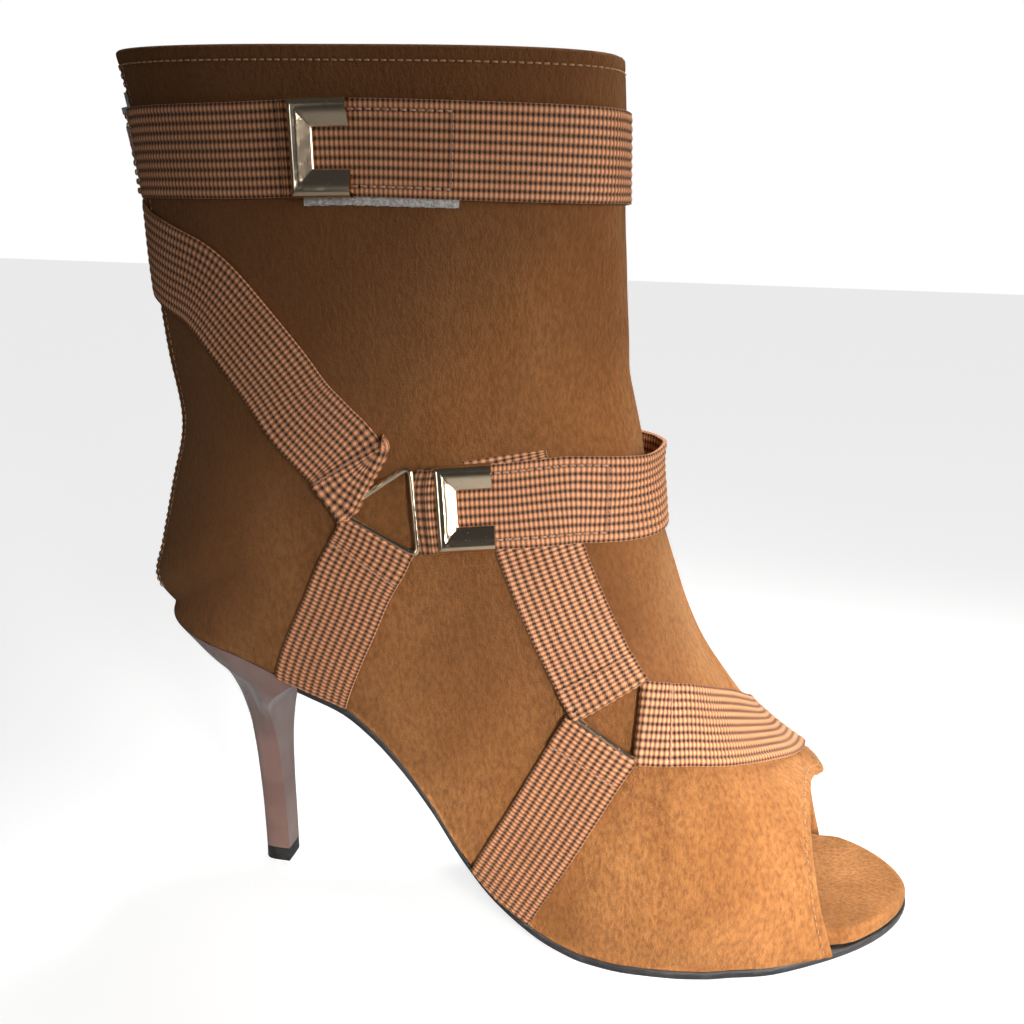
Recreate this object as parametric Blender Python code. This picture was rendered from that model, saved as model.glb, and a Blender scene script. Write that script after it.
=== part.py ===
"""Right peep toe ankle boot with a stiletto heel, webbing straps, two C clips, two rings and a back zip.

Metres, +Z up, +X toward the toe, -Y the outer (lateral) side. The origin is the centre of the heel's
top piece on the floor. The last is one function, last_point, and every soft piece is taken from it.
"""

import bpy
import bmesh
import numpy as np
from mathutils import Matrix, Vector

# Driving sizes of the shoe.
LENGTH = 0.2150
HEIGHT = 0.2210
BALL_WIDTH = 0.0780
SHAFT_WIDTH = 0.0520
GAP = 0.0003

# Wall and sole.
WALL = 0.0018
SOLE_THICK = 0.0024
INSOLE_THICK = 0.0042
BREAST_X = 0.0165

# Heel.
TOP_PIECE_HIGH = 0.0045
TIP_LONG = 0.0079
TIP_WIDE = 0.0082

# Webbing straps.
WEB_WIDE = 0.0203
WEB_THICK = 0.0013
STRAP_STEP = 0.0062
STRAP_COLUMNS = 5
SEAM = -0.965

# Foot line, heel to toe: where the upper stands on the sole.
# along: share of LENGTH. rise: share of HEIGHT. side and half: shares of BALL_WIDTH.
FOOT_ROWS = (
    # along, rise, side, half
    (-0.1350, 0.3613, 0.0000, 0.3380),
    (-0.0930, 0.3523, 0.0000, 0.3370),
    (-0.0465, 0.3414, 0.0000, 0.3360),
    (0.0000, 0.3272, 0.0000, 0.3350),
    (0.0465, 0.3093, -0.0050, 0.3340),
    (0.0930, 0.2929, -0.0100, 0.3310),
    (0.1349, 0.2766, -0.0180, 0.3250),
    (0.1721, 0.2503, -0.0270, 0.3200),
    (0.2093, 0.2141, -0.0350, 0.3180),
    (0.2512, 0.1634, -0.0420, 0.3230),
    (0.2930, 0.1055, -0.0480, 0.3380),
    (0.3349, 0.0606, -0.0500, 0.3600),
    (0.3791, 0.0306, -0.0490, 0.3900),
    (0.4186, 0.0117, -0.0370, 0.4200),
    (0.4558, 0.0031, -0.0290, 0.4480),
    (0.5116, 0.0000, -0.0140, 0.4780),
    (0.5674, 0.0000, 0.0040, 0.4890),
    (0.6047, 0.0022, 0.0150, 0.4900),
    (0.6419, 0.0063, 0.0260, 0.4840),
    (0.6791, 0.0113, 0.0290, 0.4860),
    (0.7116, 0.0162, 0.0350, 0.4830),
    (0.7442, 0.0212, 0.0385, 0.4810),
    (0.7814, 0.0258, 0.0400, 0.4810),
    (0.8186, 0.0294, 0.0400, 0.4810),
    (0.8605, 0.0321, 0.0400, 0.4810),
)

# Ends of the outline: where each rounding starts and ends along the foot, with its power.
SEAT_ROUND_FROM = -0.0190
SEAT_ROUND_END = -0.1230
SEAT_POWER = 0.50
TOE_ROUND_FROM = 0.6279
TOE_ROUND_END = 0.8558
TOE_POWER = 0.58

# Lower part of the last, from the peep toe to the back of the seat. The section leans from its foot
# to its crest. base and crest_x: shares of LENGTH. crest_z: share of HEIGHT. out and inn: widest
# half widths, shares of BALL_WIDTH. belly: height of the widest place, share of the section.
VAMP_ROWS = (
    # base, crest_x, crest_z, out, inn, belly, top, low
    (0.7330, 0.7150, 0.2130, 0.3850, 0.4400, 0.30, 2.10, 2.2),
    (0.6850, 0.6710, 0.2440, 0.4420, 0.4650, 0.30, 2.05, 2.2),
    (0.6410, 0.6310, 0.2790, 0.4850, 0.4950, 0.30, 2.00, 2.2),
    (0.5910, 0.5960, 0.3240, 0.5150, 0.5100, 0.30, 1.95, 2.2),
    (0.5350, 0.5650, 0.3700, 0.5250, 0.4950, 0.29, 1.90, 2.2),
    (0.4740, 0.5410, 0.4160, 0.5120, 0.4620, 0.28, 1.85, 2.2),
    (0.4190, 0.5220, 0.4650, 0.4850, 0.4330, 0.28, 1.85, 2.2),
    (0.3580, 0.5060, 0.5080, 0.4480, 0.4050, 0.28, 1.85, 2.2),
    (0.2930, 0.4920, 0.5480, 0.4180, 0.3860, 0.28, 1.85, 2.2),
    (0.2280, 0.4800, 0.5830, 0.3980, 0.3760, 0.28, 1.85, 2.2),
    (0.1530, 0.4740, 0.6150, 0.3850, 0.3680, 0.28, 1.88, 2.2),
    (0.0650, 0.4680, 0.6400, 0.3760, 0.3600, 0.29, 1.90, 2.2),
    (-0.0280, 0.4625, 0.6620, 0.3700, 0.3540, 0.30, 1.92, 2.2),
    (-0.0880, 0.4580, 0.6820, 0.3620, 0.3500, 0.31, 1.95, 2.2),
    (-0.1130, 0.4565, 0.6970, 0.3570, 0.3460, 0.32, 1.95, 2.2),
    (-0.1230, 0.4555, 0.7120, 0.3520, 0.3420, 0.33, 1.98, 2.2),
)

# Upper part of the last, from the back of the seat to the collar, closed at the back.
# out and inn: shares of SHAFT_WIDTH, belly: share from the back.
SHAFT_ROWS = (
    # back_x, back_z, crest_x, crest_z, out, inn, belly, top, low
    (-0.1475, 0.4020, 0.4535, 0.7340, 0.5180, 0.5040, 0.35, 2.00, 2.20),
    (-0.1365, 0.4500, 0.4510, 0.7570, 0.5050, 0.4930, 0.38, 2.05, 2.20),
    (-0.1185, 0.5240, 0.4485, 0.7800, 0.4860, 0.4800, 0.42, 2.10, 2.20),
    (-0.1005, 0.6000, 0.4460, 0.8030, 0.4760, 0.4760, 0.45, 2.20, 2.20),
    (-0.1130, 0.6860, 0.4430, 0.8270, 0.4780, 0.4780, 0.47, 2.35, 2.20),
    (-0.1215, 0.7760, 0.4405, 0.8500, 0.4850, 0.4850, 0.48, 2.50, 2.25),
    (-0.1250, 0.8600, 0.4380, 0.8800, 0.4900, 0.4900, 0.48, 2.70, 2.30),
    (-0.1340, 0.9400, 0.4345, 0.9400, 0.4940, 0.4940, 0.48, 2.80, 2.35),
    (-0.1490, 1.0000, 0.4290, 1.0000, 0.5000, 0.5000, 0.48, 2.80, 2.35),
)

# Peep toe edge: how far forward the first section goes, from the outer foot (-1) to the inner (1).
MOUTH_T = (-1.00, -0.70, -0.40, -0.16, -0.05, 0.06, 0.16, 0.40, 0.70, 1.00)
MOUTH_X = (0.0040, 0.0005, -0.0012, -0.0006, 0.0010, 0.0036, 0.0024, 0.0006, 0.0012, 0.0040)
# Share of LENGTH where the foot edge of the peep toe ends and the insole shows.
MOUTH_FRONT = 0.7580

# Heel, from its top down. drop: share of the way to the tip. front, back and half: shares of what
# the seat reaches beyond the tip. lean: shift toward the toe, share of TIP_LONG.
HEEL_ROWS = (
    # drop, front, back, half, lean
    (0.000, 1.000, 1.000, 1.000, 0.00),
    (0.045, 0.700, 0.890, 0.920, 0.00),
    (0.116, 0.300, 0.710, 0.760, -0.03),
    (0.183, 0.060, 0.475, 0.550, -0.07),
    (0.260, 0.000, 0.300, 0.350, -0.14),
    (0.356, 0.000, 0.165, 0.195, -0.15),
    (0.468, 0.000, 0.075, 0.095, -0.14),
    (0.635, 0.000, 0.025, 0.040, -0.10),
    (0.808, 0.000, 0.008, 0.010, -0.04),
    (1.000, 0.000, 0.000, 0.000, 0.00),
)

# Webbing straps. The first value: the place of the seam along which the strap starts, if it has one.
# section and place: on the last, as in last_point. lift: stand-off from the upper, and tilt: how much
# more its upper edge stands off than its lower one, both in WEB_THICKs.
STRAPS = {
    # section, place, lift, tilt
    "strap_collar": (None, (
        (22.50, SEAM, 0.0, 0.0),
        (22.50, -0.88, 0.0, 0.0),
        (22.50, -0.70, 0.0, 0.0),
        (22.54, -0.50, 0.0, 0.0),
        (22.50, -0.30, 0.0, 0.0),
        (22.46, -0.12, 0.0, 0.0),
        (22.44, 0.0, 0.0, 0.0),
        (22.42, 0.12, 0.0, 0.0),
        (22.46, 0.30, 0.0, 0.0),
        (22.50, 0.50, 0.0, 0.0),
        (22.50, 0.70, 0.0, 0.0),
        (22.50, 0.88, 0.0, 0.0),
        (22.50, -SEAM, 0.0, 0.0),
    )),
    "strap_ankle": (SEAM, (
        (21.52, -1.030, 0.0, 0.0),
        (21.30, -0.955, 0.0, 0.0),
        (21.01, -0.867, 0.0, 0.0),
        (20.66, -0.790, 0.0, 0.0),
        (19.98, -0.726, 0.0, 0.0),
        (18.69, -0.640, 0.0, 0.0),
        (17.03, -0.520, 0.0, 0.0),
        (15.72, -0.474, 0.0, 0.0),
    )),
    "strap_arch": (None, (
        (12.28, -0.578, 0.0, 0.0),
        (12.00, -0.620, 0.0, 0.0),
        (11.45, -0.739, 0.0, 0.0),
        (11.02, -0.870, 0.0, 0.0),
        (10.64, -1.000, 0.0, 0.0),
    )),
    "strap_instep": (None, (
        (12.36, -0.462, 1.25, 0.0),
        (11.91, -0.426, 1.3, 0.0),
        (10.88, -0.330, 1.5, 0.3),
        (9.50, -0.203, 1.9, 1.0),
        (8.40, -0.074, 2.0, 2.6),
        (8.25, 0.010, 2.0, 3.2),
        (8.75, 0.090, 1.6, 2.6),
        (9.75, 0.200, 0.7, 1.3),
        (10.35, 0.330, 0.1, 0.3),
        (10.65, 0.500, 0.0, 0.0),
        (10.70, 0.700, 0.0, 0.0),
        (10.68, 0.850, 0.0, 0.0),
        (10.64, 1.000, 0.0, 0.0),
    )),
    "strap_drop": (None, (
        (12.70, -0.290, 0.0, 0.0),
        (11.36, -0.330, 0.0, 0.0),
        (9.80, -0.385, 0.0, 0.0),
        (8.77, -0.402, 0.0, 0.0),
        (7.66, -0.407, 0.0, 0.0),
        (6.79, -0.418, 0.0, 0.0),
    )),
    "strap_vamp": (None, (
        (5.36, -0.387, 0.0, 0.0),
        (4.29, -0.326, 0.0, 0.0),
        (3.00, -0.236, 0.1, 0.0),
        (2.05, -0.125, 0.15, 0.0),
        (1.42, 0.000, 0.15, 0.0),
        (1.20, 0.120, 0.15, 0.0),
        (1.15, 0.280, 0.15, 0.0),
        (1.20, 0.500, 0.1, 0.0),
        (1.25, 0.750, 0.0, 0.0),
        (1.30, 1.000, 0.0, 0.0),
    )),
    "strap_ball": (None, (
        (6.52, -0.520, 0.0, 0.0),
        (6.64, -0.572, 0.0, 0.0),
        (6.84, -0.689, 0.0, 0.0),
        (7.07, -0.862, 0.0, 0.0),
        (7.21, -1.000, 0.0, 0.0),
    )),
}

# Triangle rings: the corners on the last, each where two straps meet.
RING_WIRE = 0.0016
# Share of the room between the three straps that the ring's middle line fills.
RING_FILL = 0.80
RINGS = {
    # section and place of each corner
    "ring_ankle": ((15.01, -0.522), (15.33, -0.394), (11.42, -0.553)),
    "ring_vamp": ((7.43, -0.517), (5.78, -0.315), (5.32, -0.475)),
}

# C clips, open toward the toe. Each lies on its strap at a share of the strap's length.
CLIP_LONG = 0.0142
CLIP_HIGH = 0.0212
CLIP_BAR_BACK = 0.0056
CLIP_BAR_SIDE = 0.0063
CLIP_THICK = 0.0022
CLIP_ROUND = 0.0006
CLIPS = {
    # strap, share of its length
    "clip_collar": ("strap_collar", 0.2190),
    "clip_instep": ("strap_instep", 0.0560),
}

# Grosgrain tape that shows under the collar strap: its places on the last and its size.
BACKING_FROM = -0.575
BACKING_TO = -0.325
BACKING_WIDE = 0.0020
BACKING_THICK = 0.0006

# Back zip. The slider stands at section ZIP_SLIDER_AT, and the pull turns on its pin.
ZIP_FROM = 16.20
ZIP_TO = 23.85
ZIP_SLIDER_AT = 23.14
ZIP_WIDE = 0.0050
ZIP_THICK = 0.0006
SLIDER_LONG = 0.0080
SLIDER_WIDE = 0.0046
SLIDER_THICK = 0.0009
PIN_WIDE = 0.0006
EYE_WIDE = 0.0016
EYE_LONG = 0.0020
LUG_THICK = 0.0008
PULL_LONG = 0.0140
PULL_WIDE = 0.0050
PULL_THICK = 0.0009


def smooth(keys, values, at):
    """Shape-keeping cubic through the points (keys, values), read at each place of at."""
    keys = np.asarray(keys, float)
    values = np.asarray(values, float)
    step = np.diff(keys)
    slope = np.diff(values) / step
    inner = np.where(
        slope[1:] * slope[:-1] > 0,
        2 * slope[1:] * slope[:-1] / np.where(slope[1:] + slope[:-1] == 0, 1, slope[1:] + slope[:-1]),
        0,
    )
    tangent = np.concatenate([slope[:1], inner, slope[-1:]])
    at = np.clip(at, keys[0], keys[-1])
    i = np.clip(np.searchsorted(keys, at, side="right") - 1, 0, len(step) - 1)
    h = step[i]
    u = (at - keys[i]) / h
    return (
        (1 + 2 * u) * (1 - u) ** 2 * values[i]
        + u * (1 - u) ** 2 * h * tangent[i]
        + u * u * (3 - 2 * u) * values[i + 1]
        + u * u * (u - 1) * h * tangent[i + 1]
    )


def flowing(values, at):
    """Catmull-Rom curve through evenly keyed values, read at each place of at."""
    values = np.asarray(values, float)
    padded = np.concatenate([[2 * values[0] - values[1]], values, [2 * values[-1] - values[-2]]])
    at = np.clip(at, 0, len(values) - 1)
    i = np.minimum(at.astype(int), len(values) - 2)
    u = at - i
    a, b, c, d = padded[i], padded[i + 1], padded[i + 2], padded[i + 3]
    return b + 0.5 * u * (c - a + u * (2 * a - 5 * b + 4 * c - d + u * (3 * (b - c) + d - a)))


FOOT = np.array(FOOT_ROWS)
FOOT_X = FOOT[:, 0] * LENGTH
BACK_X = SEAT_ROUND_END * LENGTH
TOE_X = TOE_ROUND_END * LENGTH


def foot_height(x):
    """Height of the foot line above the floor at x."""
    return SOLE_THICK + smooth(FOOT_X, FOOT[:, 1] * HEIGHT, x)


def foot_side(x):
    """Sideways place of the middle of the foot line at x."""
    return smooth(FOOT_X, FOOT[:, 2] * BALL_WIDTH, x)


def foot_half(x):
    """Half width of the foot line at x, rounded off at the seat and at the toe."""
    half = smooth(FOOT_X, FOOT[:, 3] * BALL_WIDTH, x)
    seat_from = SEAT_ROUND_FROM * LENGTH
    toe_from = TOE_ROUND_FROM * LENGTH
    seat = np.clip((seat_from - x) / (seat_from - BACK_X), 0, 1)
    toe = np.clip((x - toe_from) / (TOE_X - toe_from), 0, 1)
    return half * (1 - seat**2) ** SEAT_POWER * (1 - toe**2) ** TOE_POWER


def last_columns():
    """The columns of both tables in metres, one row for each section from the peep toe to the collar."""
    vamp = np.array(VAMP_ROWS)
    shaft = np.array(SHAFT_ROWS)
    base_x = vamp[:, 0] * LENGTH
    lower = np.stack(
        [
            base_x,
            foot_height(base_x) + GAP,
            vamp[:, 1] * LENGTH,
            vamp[:, 2] * HEIGHT,
            vamp[:, 3] * BALL_WIDTH,
            vamp[:, 4] * BALL_WIDTH,
            vamp[:, 5],
            vamp[:, 6],
            vamp[:, 7],
        ]
    )
    upper = np.stack(
        [
            shaft[:, 0] * LENGTH,
            shaft[:, 1] * HEIGHT,
            shaft[:, 2] * LENGTH,
            shaft[:, 3] * HEIGHT,
            shaft[:, 4] * SHAFT_WIDTH,
            shaft[:, 5] * SHAFT_WIDTH,
            shaft[:, 6],
            shaft[:, 7],
            shaft[:, 8],
        ]
    )
    return np.concatenate([lower, upper], axis=1)


COLUMNS = last_columns()
SEAT_ROW = float(len(VAMP_ROWS) - 1)
COLLAR_ROW = float(COLUMNS.shape[1] - 1)


def last_point(s, t):
    """Point of the upper's outer face at section s (0 at the peep toe, COLLAR_ROW at the collar) and
    place t round it (-1 outer foot or back seam, 0 crest, 1 inner foot or back seam)."""
    s, t = np.broadcast_arrays(np.asarray(s, float), np.asarray(t, float))
    shape = s.shape
    s = s.ravel()
    t = t.ravel()
    base_x, base_z, crest_x, crest_z, out, inn, belly, top, low = [flowing(column, s) for column in COLUMNS]
    on_foot = s < SEAT_ROW
    # Above the seat the section is closed, so a place past the back seam comes round again.
    t = np.where(on_foot, np.clip(t, -1, 1), (t + 1) % 2 - 1 + 2 * (t == 1))
    mouth = smooth(MOUTH_T, MOUTH_X, t) * np.clip(1 - s / 1.5, 0, 1) ** 2
    base_z = np.where(on_foot, foot_height(base_x + mouth) + GAP, base_z)
    side = np.where(on_foot, foot_side(base_x), 0.0)
    half = np.where(on_foot, foot_half(base_x), 0.0)
    foot = np.where(t < 0, half - side, half + side)
    foot = np.where(on_foot, foot, 0.0)
    widest = np.maximum(np.where(t < 0, out, inn), foot * 1.01)
    # A quarter oval above the belly, and below it an oval cut off where it meets the foot line.
    turn = np.linspace(0, np.pi / 2, 25)[:, None]
    above_w = widest * np.sin(turn) ** (2 / top)
    above_h = belly + (1 - belly) * np.cos(turn) ** (2 / top)
    cut = (1 - (foot / widest) ** low) ** (1 / low)
    turn = np.linspace(0, 1, 25)[1:, None] * np.arcsin(np.minimum(cut ** (low / 2), 1))
    below_w = widest * np.cos(turn) ** (2 / low)
    below_h = belly * (1 - np.sin(turn) ** (2 / low) / cut)
    wide = np.concatenate([above_w, below_w])
    high = np.concatenate([above_h, below_h])
    reach = np.hypot(crest_x - base_x, crest_z - base_z)
    steps = np.hypot(np.diff(wide, axis=0), np.diff(high, axis=0) * reach)
    length = np.concatenate([np.zeros((1, len(s))), np.cumsum(steps, axis=0)])
    want = np.abs(t) * length[-1]
    i = np.clip((length <= want).sum(axis=0) - 1, 0, len(length) - 2)
    n = np.arange(len(s))
    u = np.clip((want - length[i, n]) / np.maximum(length[i + 1, n] - length[i, n], 1e-12), 0, 1)
    w = wide[i, n] + u * (wide[i + 1, n] - wide[i, n])
    h = high[i, n] + u * (high[i + 1, n] - high[i, n])
    x = base_x + (crest_x - base_x) * h + mouth
    z = base_z + (crest_z - base_z) * h - 0.55 * mouth * h
    y = np.where(t < 0, -w, w) + np.maximum(side, 0) * h
    return np.stack([x, y, z], axis=-1).reshape(shape + (3,))


def last_frame(s, t):
    """Point, outward normal and the two derivatives of the outer face at (s, t)."""
    e = 0.01
    point = last_point(s, t)
    low = np.maximum(s - e, 0)
    high = np.minimum(s + e, COLLAR_ROW)
    by_s = (last_point(high, t) - last_point(low, t)) / (high - low)[..., None]
    open_edge = s < SEAT_ROW
    before = np.where(open_edge, np.maximum(t - e, -1), t - e)
    after = np.where(open_edge, np.minimum(t + e, 1), t + e)
    by_t = (last_point(s, after) - last_point(s, before)) / (after - before)[..., None]
    normal = np.cross(by_t, by_s)
    normal /= np.linalg.norm(normal, axis=-1, keepdims=True)
    return point, normal, by_s, by_t


def on_last(s, t, lift):
    """Points standing off the upper's outer face at (s, t) by lift."""
    point, normal, _, _ = last_frame(s, t)
    return point + normal * np.asarray(lift)[..., None]


def step_over(s, t, way, length, steps=6):
    """Walks over the last from (s, t) in direction way for length, staying straight on the surface."""
    for _ in range(steps):
        _, normal, by_s, by_t = last_frame(s, t)
        way = way - normal * (way * normal).sum(axis=-1, keepdims=True)
        way = way / np.linalg.norm(way, axis=-1, keepdims=True)
        ss = (by_s * by_s).sum(axis=-1)
        tt = (by_t * by_t).sum(axis=-1)
        st = (by_s * by_t).sum(axis=-1)
        ws = (by_s * way).sum(axis=-1)
        wt = (by_t * way).sum(axis=-1)
        room = np.maximum(ss * tt - st * st, 1e-18)
        s = s + length / steps * (ws * tt - wt * st) / room
        t = t + length / steps * (wt * ss - ws * st) / room
        s = np.clip(s, 0, COLLAR_ROW)
        t = np.where(s < SEAT_ROW, np.clip(t, -1, 1), t)
    return s, t


def path_run(rows):
    """Finely spaced keys along a path of rows on the last, and the length walked to each."""
    keys = np.linspace(0, len(rows) - 1, 40 * len(rows))
    points = last_point(flowing(rows[:, 0], keys), flowing(rows[:, 1], keys))
    run = np.concatenate([[0], np.cumsum(np.linalg.norm(np.diff(points, axis=0), axis=1))])
    return keys, run


def path_lift(rows, column, keys):
    """A path's lift or tilt at each key, in metres."""
    return smooth(np.arange(len(rows)), rows[:, column] * WEB_THICK, keys)


def path_frame(rows, share):
    """Point on the upper, its outward normal, the path's heading and its lift at a share of its length."""
    rows = np.array(rows)
    keys, run = path_run(rows)
    key = np.interp(share * run[-1], run, keys)
    near = np.array([key - 0.1, key, key + 0.1])
    point, normal, _, _ = last_frame(flowing(rows[:, 0], near), flowing(rows[:, 1], near))
    lift = path_lift(rows, 2, near)[1]
    return Vector(point[1]), Vector(normal[1]), Vector(point[2] - point[0]), lift


def band_places(rows, at, across):
    """Sections and places on the last at lengths walked along a path and at distances to its side."""
    keys, run = path_run(rows)
    before = np.interp(at - 0.0008, run, keys).ravel()
    after = np.interp(at + 0.0008, run, keys).ravel()
    middle = np.interp(at, run, keys).ravel()
    heading = last_point(flowing(rows[:, 0], after), flowing(rows[:, 1], after))
    heading = heading - last_point(flowing(rows[:, 0], before), flowing(rows[:, 1], before))
    s = flowing(rows[:, 0], middle)
    t = flowing(rows[:, 1], middle)
    _, normal, _, _ = last_frame(s, t)
    s, t = step_over(s, t, np.cross(normal, heading), np.broadcast_to(across, at.shape).ravel())
    return s.reshape(at.shape), t.reshape(at.shape), middle.reshape(at.shape)


def band(rows, wide, long_step, columns, seam=None):
    """Sections, places, lifts and lengths walked of a band on the last, which may start on a seam's place."""
    rows = np.array(rows)
    _, run = path_run(rows)
    count = max(3, int(round(run[-1] / long_step)) + 1)
    across = np.linspace(-wide / 2, wide / 2, columns)[None, :]
    start = np.zeros(columns)
    if seam is not None:
        walk = np.linspace(0, run[-1] * 0.45, 90)
        _, t, _ = band_places(rows, np.repeat(walk[:, None], columns, axis=1), across)
        start = np.array([np.interp(seam, t[:, column], walk) for column in range(columns)])
    share = np.linspace(0, 1, count)[:, None]
    at = start + (run[-1] - start) * share
    s, t, keys = band_places(rows, at, across)
    lift = path_lift(rows, 2, keys) + path_lift(rows, 3, keys) * across / wide
    return s, t, lift, at


def material(name, colour, rough, metal=0.0, coat=0.0):
    made = bpy.data.materials.new(name)
    made.use_nodes = True
    shader = made.node_tree.nodes["Principled BSDF"]
    shader.inputs["Base Color"].default_value = (*colour, 1.0)
    shader.inputs["Roughness"].default_value = rough
    shader.inputs["Metallic"].default_value = metal
    shader.inputs["Coat Weight"].default_value = coat
    return made


def solid(name, points, faces, look):
    """Closed mesh object from points and faces, with points that fall together made one."""
    mesh = bpy.data.meshes.new(name)
    mesh.from_pydata([tuple(p) for p in points], [], faces)
    work = bmesh.new()
    work.from_mesh(mesh)
    bmesh.ops.remove_doubles(work, verts=work.verts, dist=1e-5)
    bmesh.ops.dissolve_degenerate(work, edges=work.edges, dist=1e-6)
    bmesh.ops.recalc_face_normals(work, faces=work.faces)
    work.to_mesh(mesh)
    work.free()
    mesh.polygons.foreach_set("use_smooth", [True] * len(mesh.polygons))
    mesh.materials.append(look)
    made = bpy.data.objects.new(name, mesh)
    PARTS.objects.link(made)
    return made


def shell(name, outer, inner, look, joined_from=None):
    """Closed solid between two grids of the same size. From row joined_from on, the first and last
    columns are one line, so those rows run all the way round. A first or last row that folds back on
    itself needs no wall."""
    rows, columns = outer.shape[:2]
    joined_from = rows if joined_from is None else joined_from
    points = np.concatenate([outer.reshape(-1, 3), inner.reshape(-1, 3)])

    def at(layer, i, j):
        return layer * rows * columns + i * columns + j

    faces = []
    for i in range(rows - 1):
        for j in range(columns - 1):
            faces.append((at(0, i, j), at(0, i, j + 1), at(0, i + 1, j + 1), at(0, i + 1, j)))
            faces.append((at(1, i, j), at(1, i + 1, j), at(1, i + 1, j + 1), at(1, i, j + 1)))
    for i in (0, rows - 1):
        if np.allclose(outer[i], outer[i, ::-1], atol=1e-6) and np.allclose(inner[i], inner[i, ::-1], atol=1e-6):
            continue
        for j in range(columns - 1):
            faces.append((at(0, i, j), at(1, i, j), at(1, i, j + 1), at(0, i, j + 1)))
    for i in range(min(joined_from, rows - 1)):
        last = columns - 1
        faces.append((at(0, i, 0), at(0, i + 1, 0), at(1, i + 1, 0), at(1, i, 0)))
        faces.append((at(0, i, last), at(1, i, last), at(1, i + 1, last), at(0, i + 1, last)))
    return solid(name, points, faces, look)


def rings(name, loops, look):
    """Closed solid through rings of points, the first on top, each going the same way round."""
    count, around = loops.shape[:2]
    faces = [tuple(range(around)), tuple(reversed(range((count - 1) * around, count * around)))]
    for i in range(count - 1):
        for j in range(around):
            k = (j + 1) % around
            faces.append((i * around + j, (i + 1) * around + j, (i + 1) * around + k, i * around + k))
    return solid(name, loops.reshape(-1, 3), faces, look)


def outline(x, inset):
    """Outer and inner edge points of the foot outline at each x, moved inward by inset."""
    half = foot_half(x)
    side = foot_side(x)
    edges = []
    for way in (-1, 1):
        edge = np.stack([x, side + way * half], axis=-1)
        run = np.gradient(edge, axis=0)
        inward = way * np.stack([run[:, 1], -run[:, 0]], axis=-1)
        inward /= np.linalg.norm(inward, axis=1, keepdims=True)
        edges.append(edge + inward * inset[:, None])
    out, inn = edges
    tip = (half < 1e-6)[:, None]
    middle = (out + inn) / 2
    return np.where(tip, middle, out), np.where(tip, middle, inn)


def footbed(x, inset, across, lift):
    """Grid on the foot line inside its outline: a row for each x, a column for each share across."""
    out, inn = outline(x, inset)
    share = (np.asarray(across)[None, :, None] + 1) / 2
    flat = out[:, None] + (inn - out)[:, None] * share
    height = foot_height(flat[..., 0]) + lift
    return np.concatenate([flat, height[..., None]], axis=-1)


def foot_stations(start):
    """Places along the foot from start to the toe, closer together at the seat's and the toe's end."""
    quarter = 1 - np.cos(np.linspace(0, np.pi / 2, 8))
    seat = BACK_X + (BREAST_X + GAP - BACK_X) * quarter
    waist = np.linspace(BREAST_X + GAP, 0.5 * LENGTH, 17)
    toe = TOE_X - (TOE_X - 0.5 * LENGTH) * (1 - np.cos(np.linspace(np.pi / 2, 0, 15)))
    x = np.concatenate([seat, waist[1:], toe[1:]])
    return x[x >= start - 1e-9]


def make_upper():
    vamp = np.concatenate([np.linspace(0, 5.25, 8), np.linspace(5.75, 12.65, 16), [13.2, 13.7, 14.15, 14.5, 14.8]])
    s = np.concatenate([vamp, np.linspace(SEAT_ROW, COLLAR_ROW, 19)])
    t = np.linspace(-1, 1, 27)
    grid_s, grid_t = np.meshgrid(s, t, indexing="ij")
    outer, normal, _, _ = last_frame(grid_s, grid_t)
    inner = outer - normal * WALL
    seam = s >= SEAT_ROW
    for face in (outer, inner):
        middle = (face[seam, 0] + face[seam, -1]) / 2
        face[seam, 0] = middle
        face[seam, -1] = middle
    # The foot edge stays flat on the sole.
    inner[~seam, 0, 2] = outer[~seam, 0, 2]
    inner[~seam, -1, 2] = outer[~seam, -1, 2]
    return shell("upper", outer, inner, SUEDE, joined_from=int(np.argmax(seam)))


def make_insole():
    x = foot_stations(BACK_X)
    across = np.sin(np.linspace(-np.pi / 2, np.pi / 2, 7))
    inside = WALL + 3 * GAP
    shown = np.clip((x - MOUTH_FRONT * LENGTH) / (0.02 * LENGTH), 0, 1)
    seat = np.clip((-0.02 * LENGTH - x) / (0.1 * LENGTH), 0, 1)
    inset = inside + (0.0008 - inside) * shown + 0.0020 * seat
    low = footbed(x, inset, across, GAP)
    edge = footbed(x, inset, across, GAP + 0.6 * INSOLE_THICK)
    top = footbed(x, inset + 0.0016, across, GAP + INSOLE_THICK)
    outer = np.concatenate([edge[:, :1], top, edge[:, -1:]], axis=1)
    inner = np.concatenate([low[:, :1], low, low[:, -1:]], axis=1)
    return shell("insole", outer, inner, SUEDE)


def make_outsole():
    x = foot_stations(BREAST_X + GAP)
    across = np.linspace(-1, 1, 5)
    top = footbed(x, np.zeros(len(x)), across, 0.0)
    e = 0.0005
    slope = (foot_height(top[..., 0] + e) - foot_height(top[..., 0] - e)) / (2 * e)
    low = top.copy()
    low[..., 2] -= SOLE_THICK * np.sqrt(1 + slope**2)
    return shell("outsole", top, low, SOLE_RUBBER)


def tip_ring(inset):
    """Rounded square of the heel's tip, open at the breast, from its outer front corner round the back."""
    around = np.linspace(0, np.pi, 21)
    long = TIP_LONG - 2 * inset
    wide = TIP_WIDE / 2 - inset
    x = long / 2 - long * np.abs(np.sin(around)) ** 0.45
    y = -np.sign(np.cos(around)) * wide * np.abs(np.cos(around)) ** 0.45
    return x, y


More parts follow.
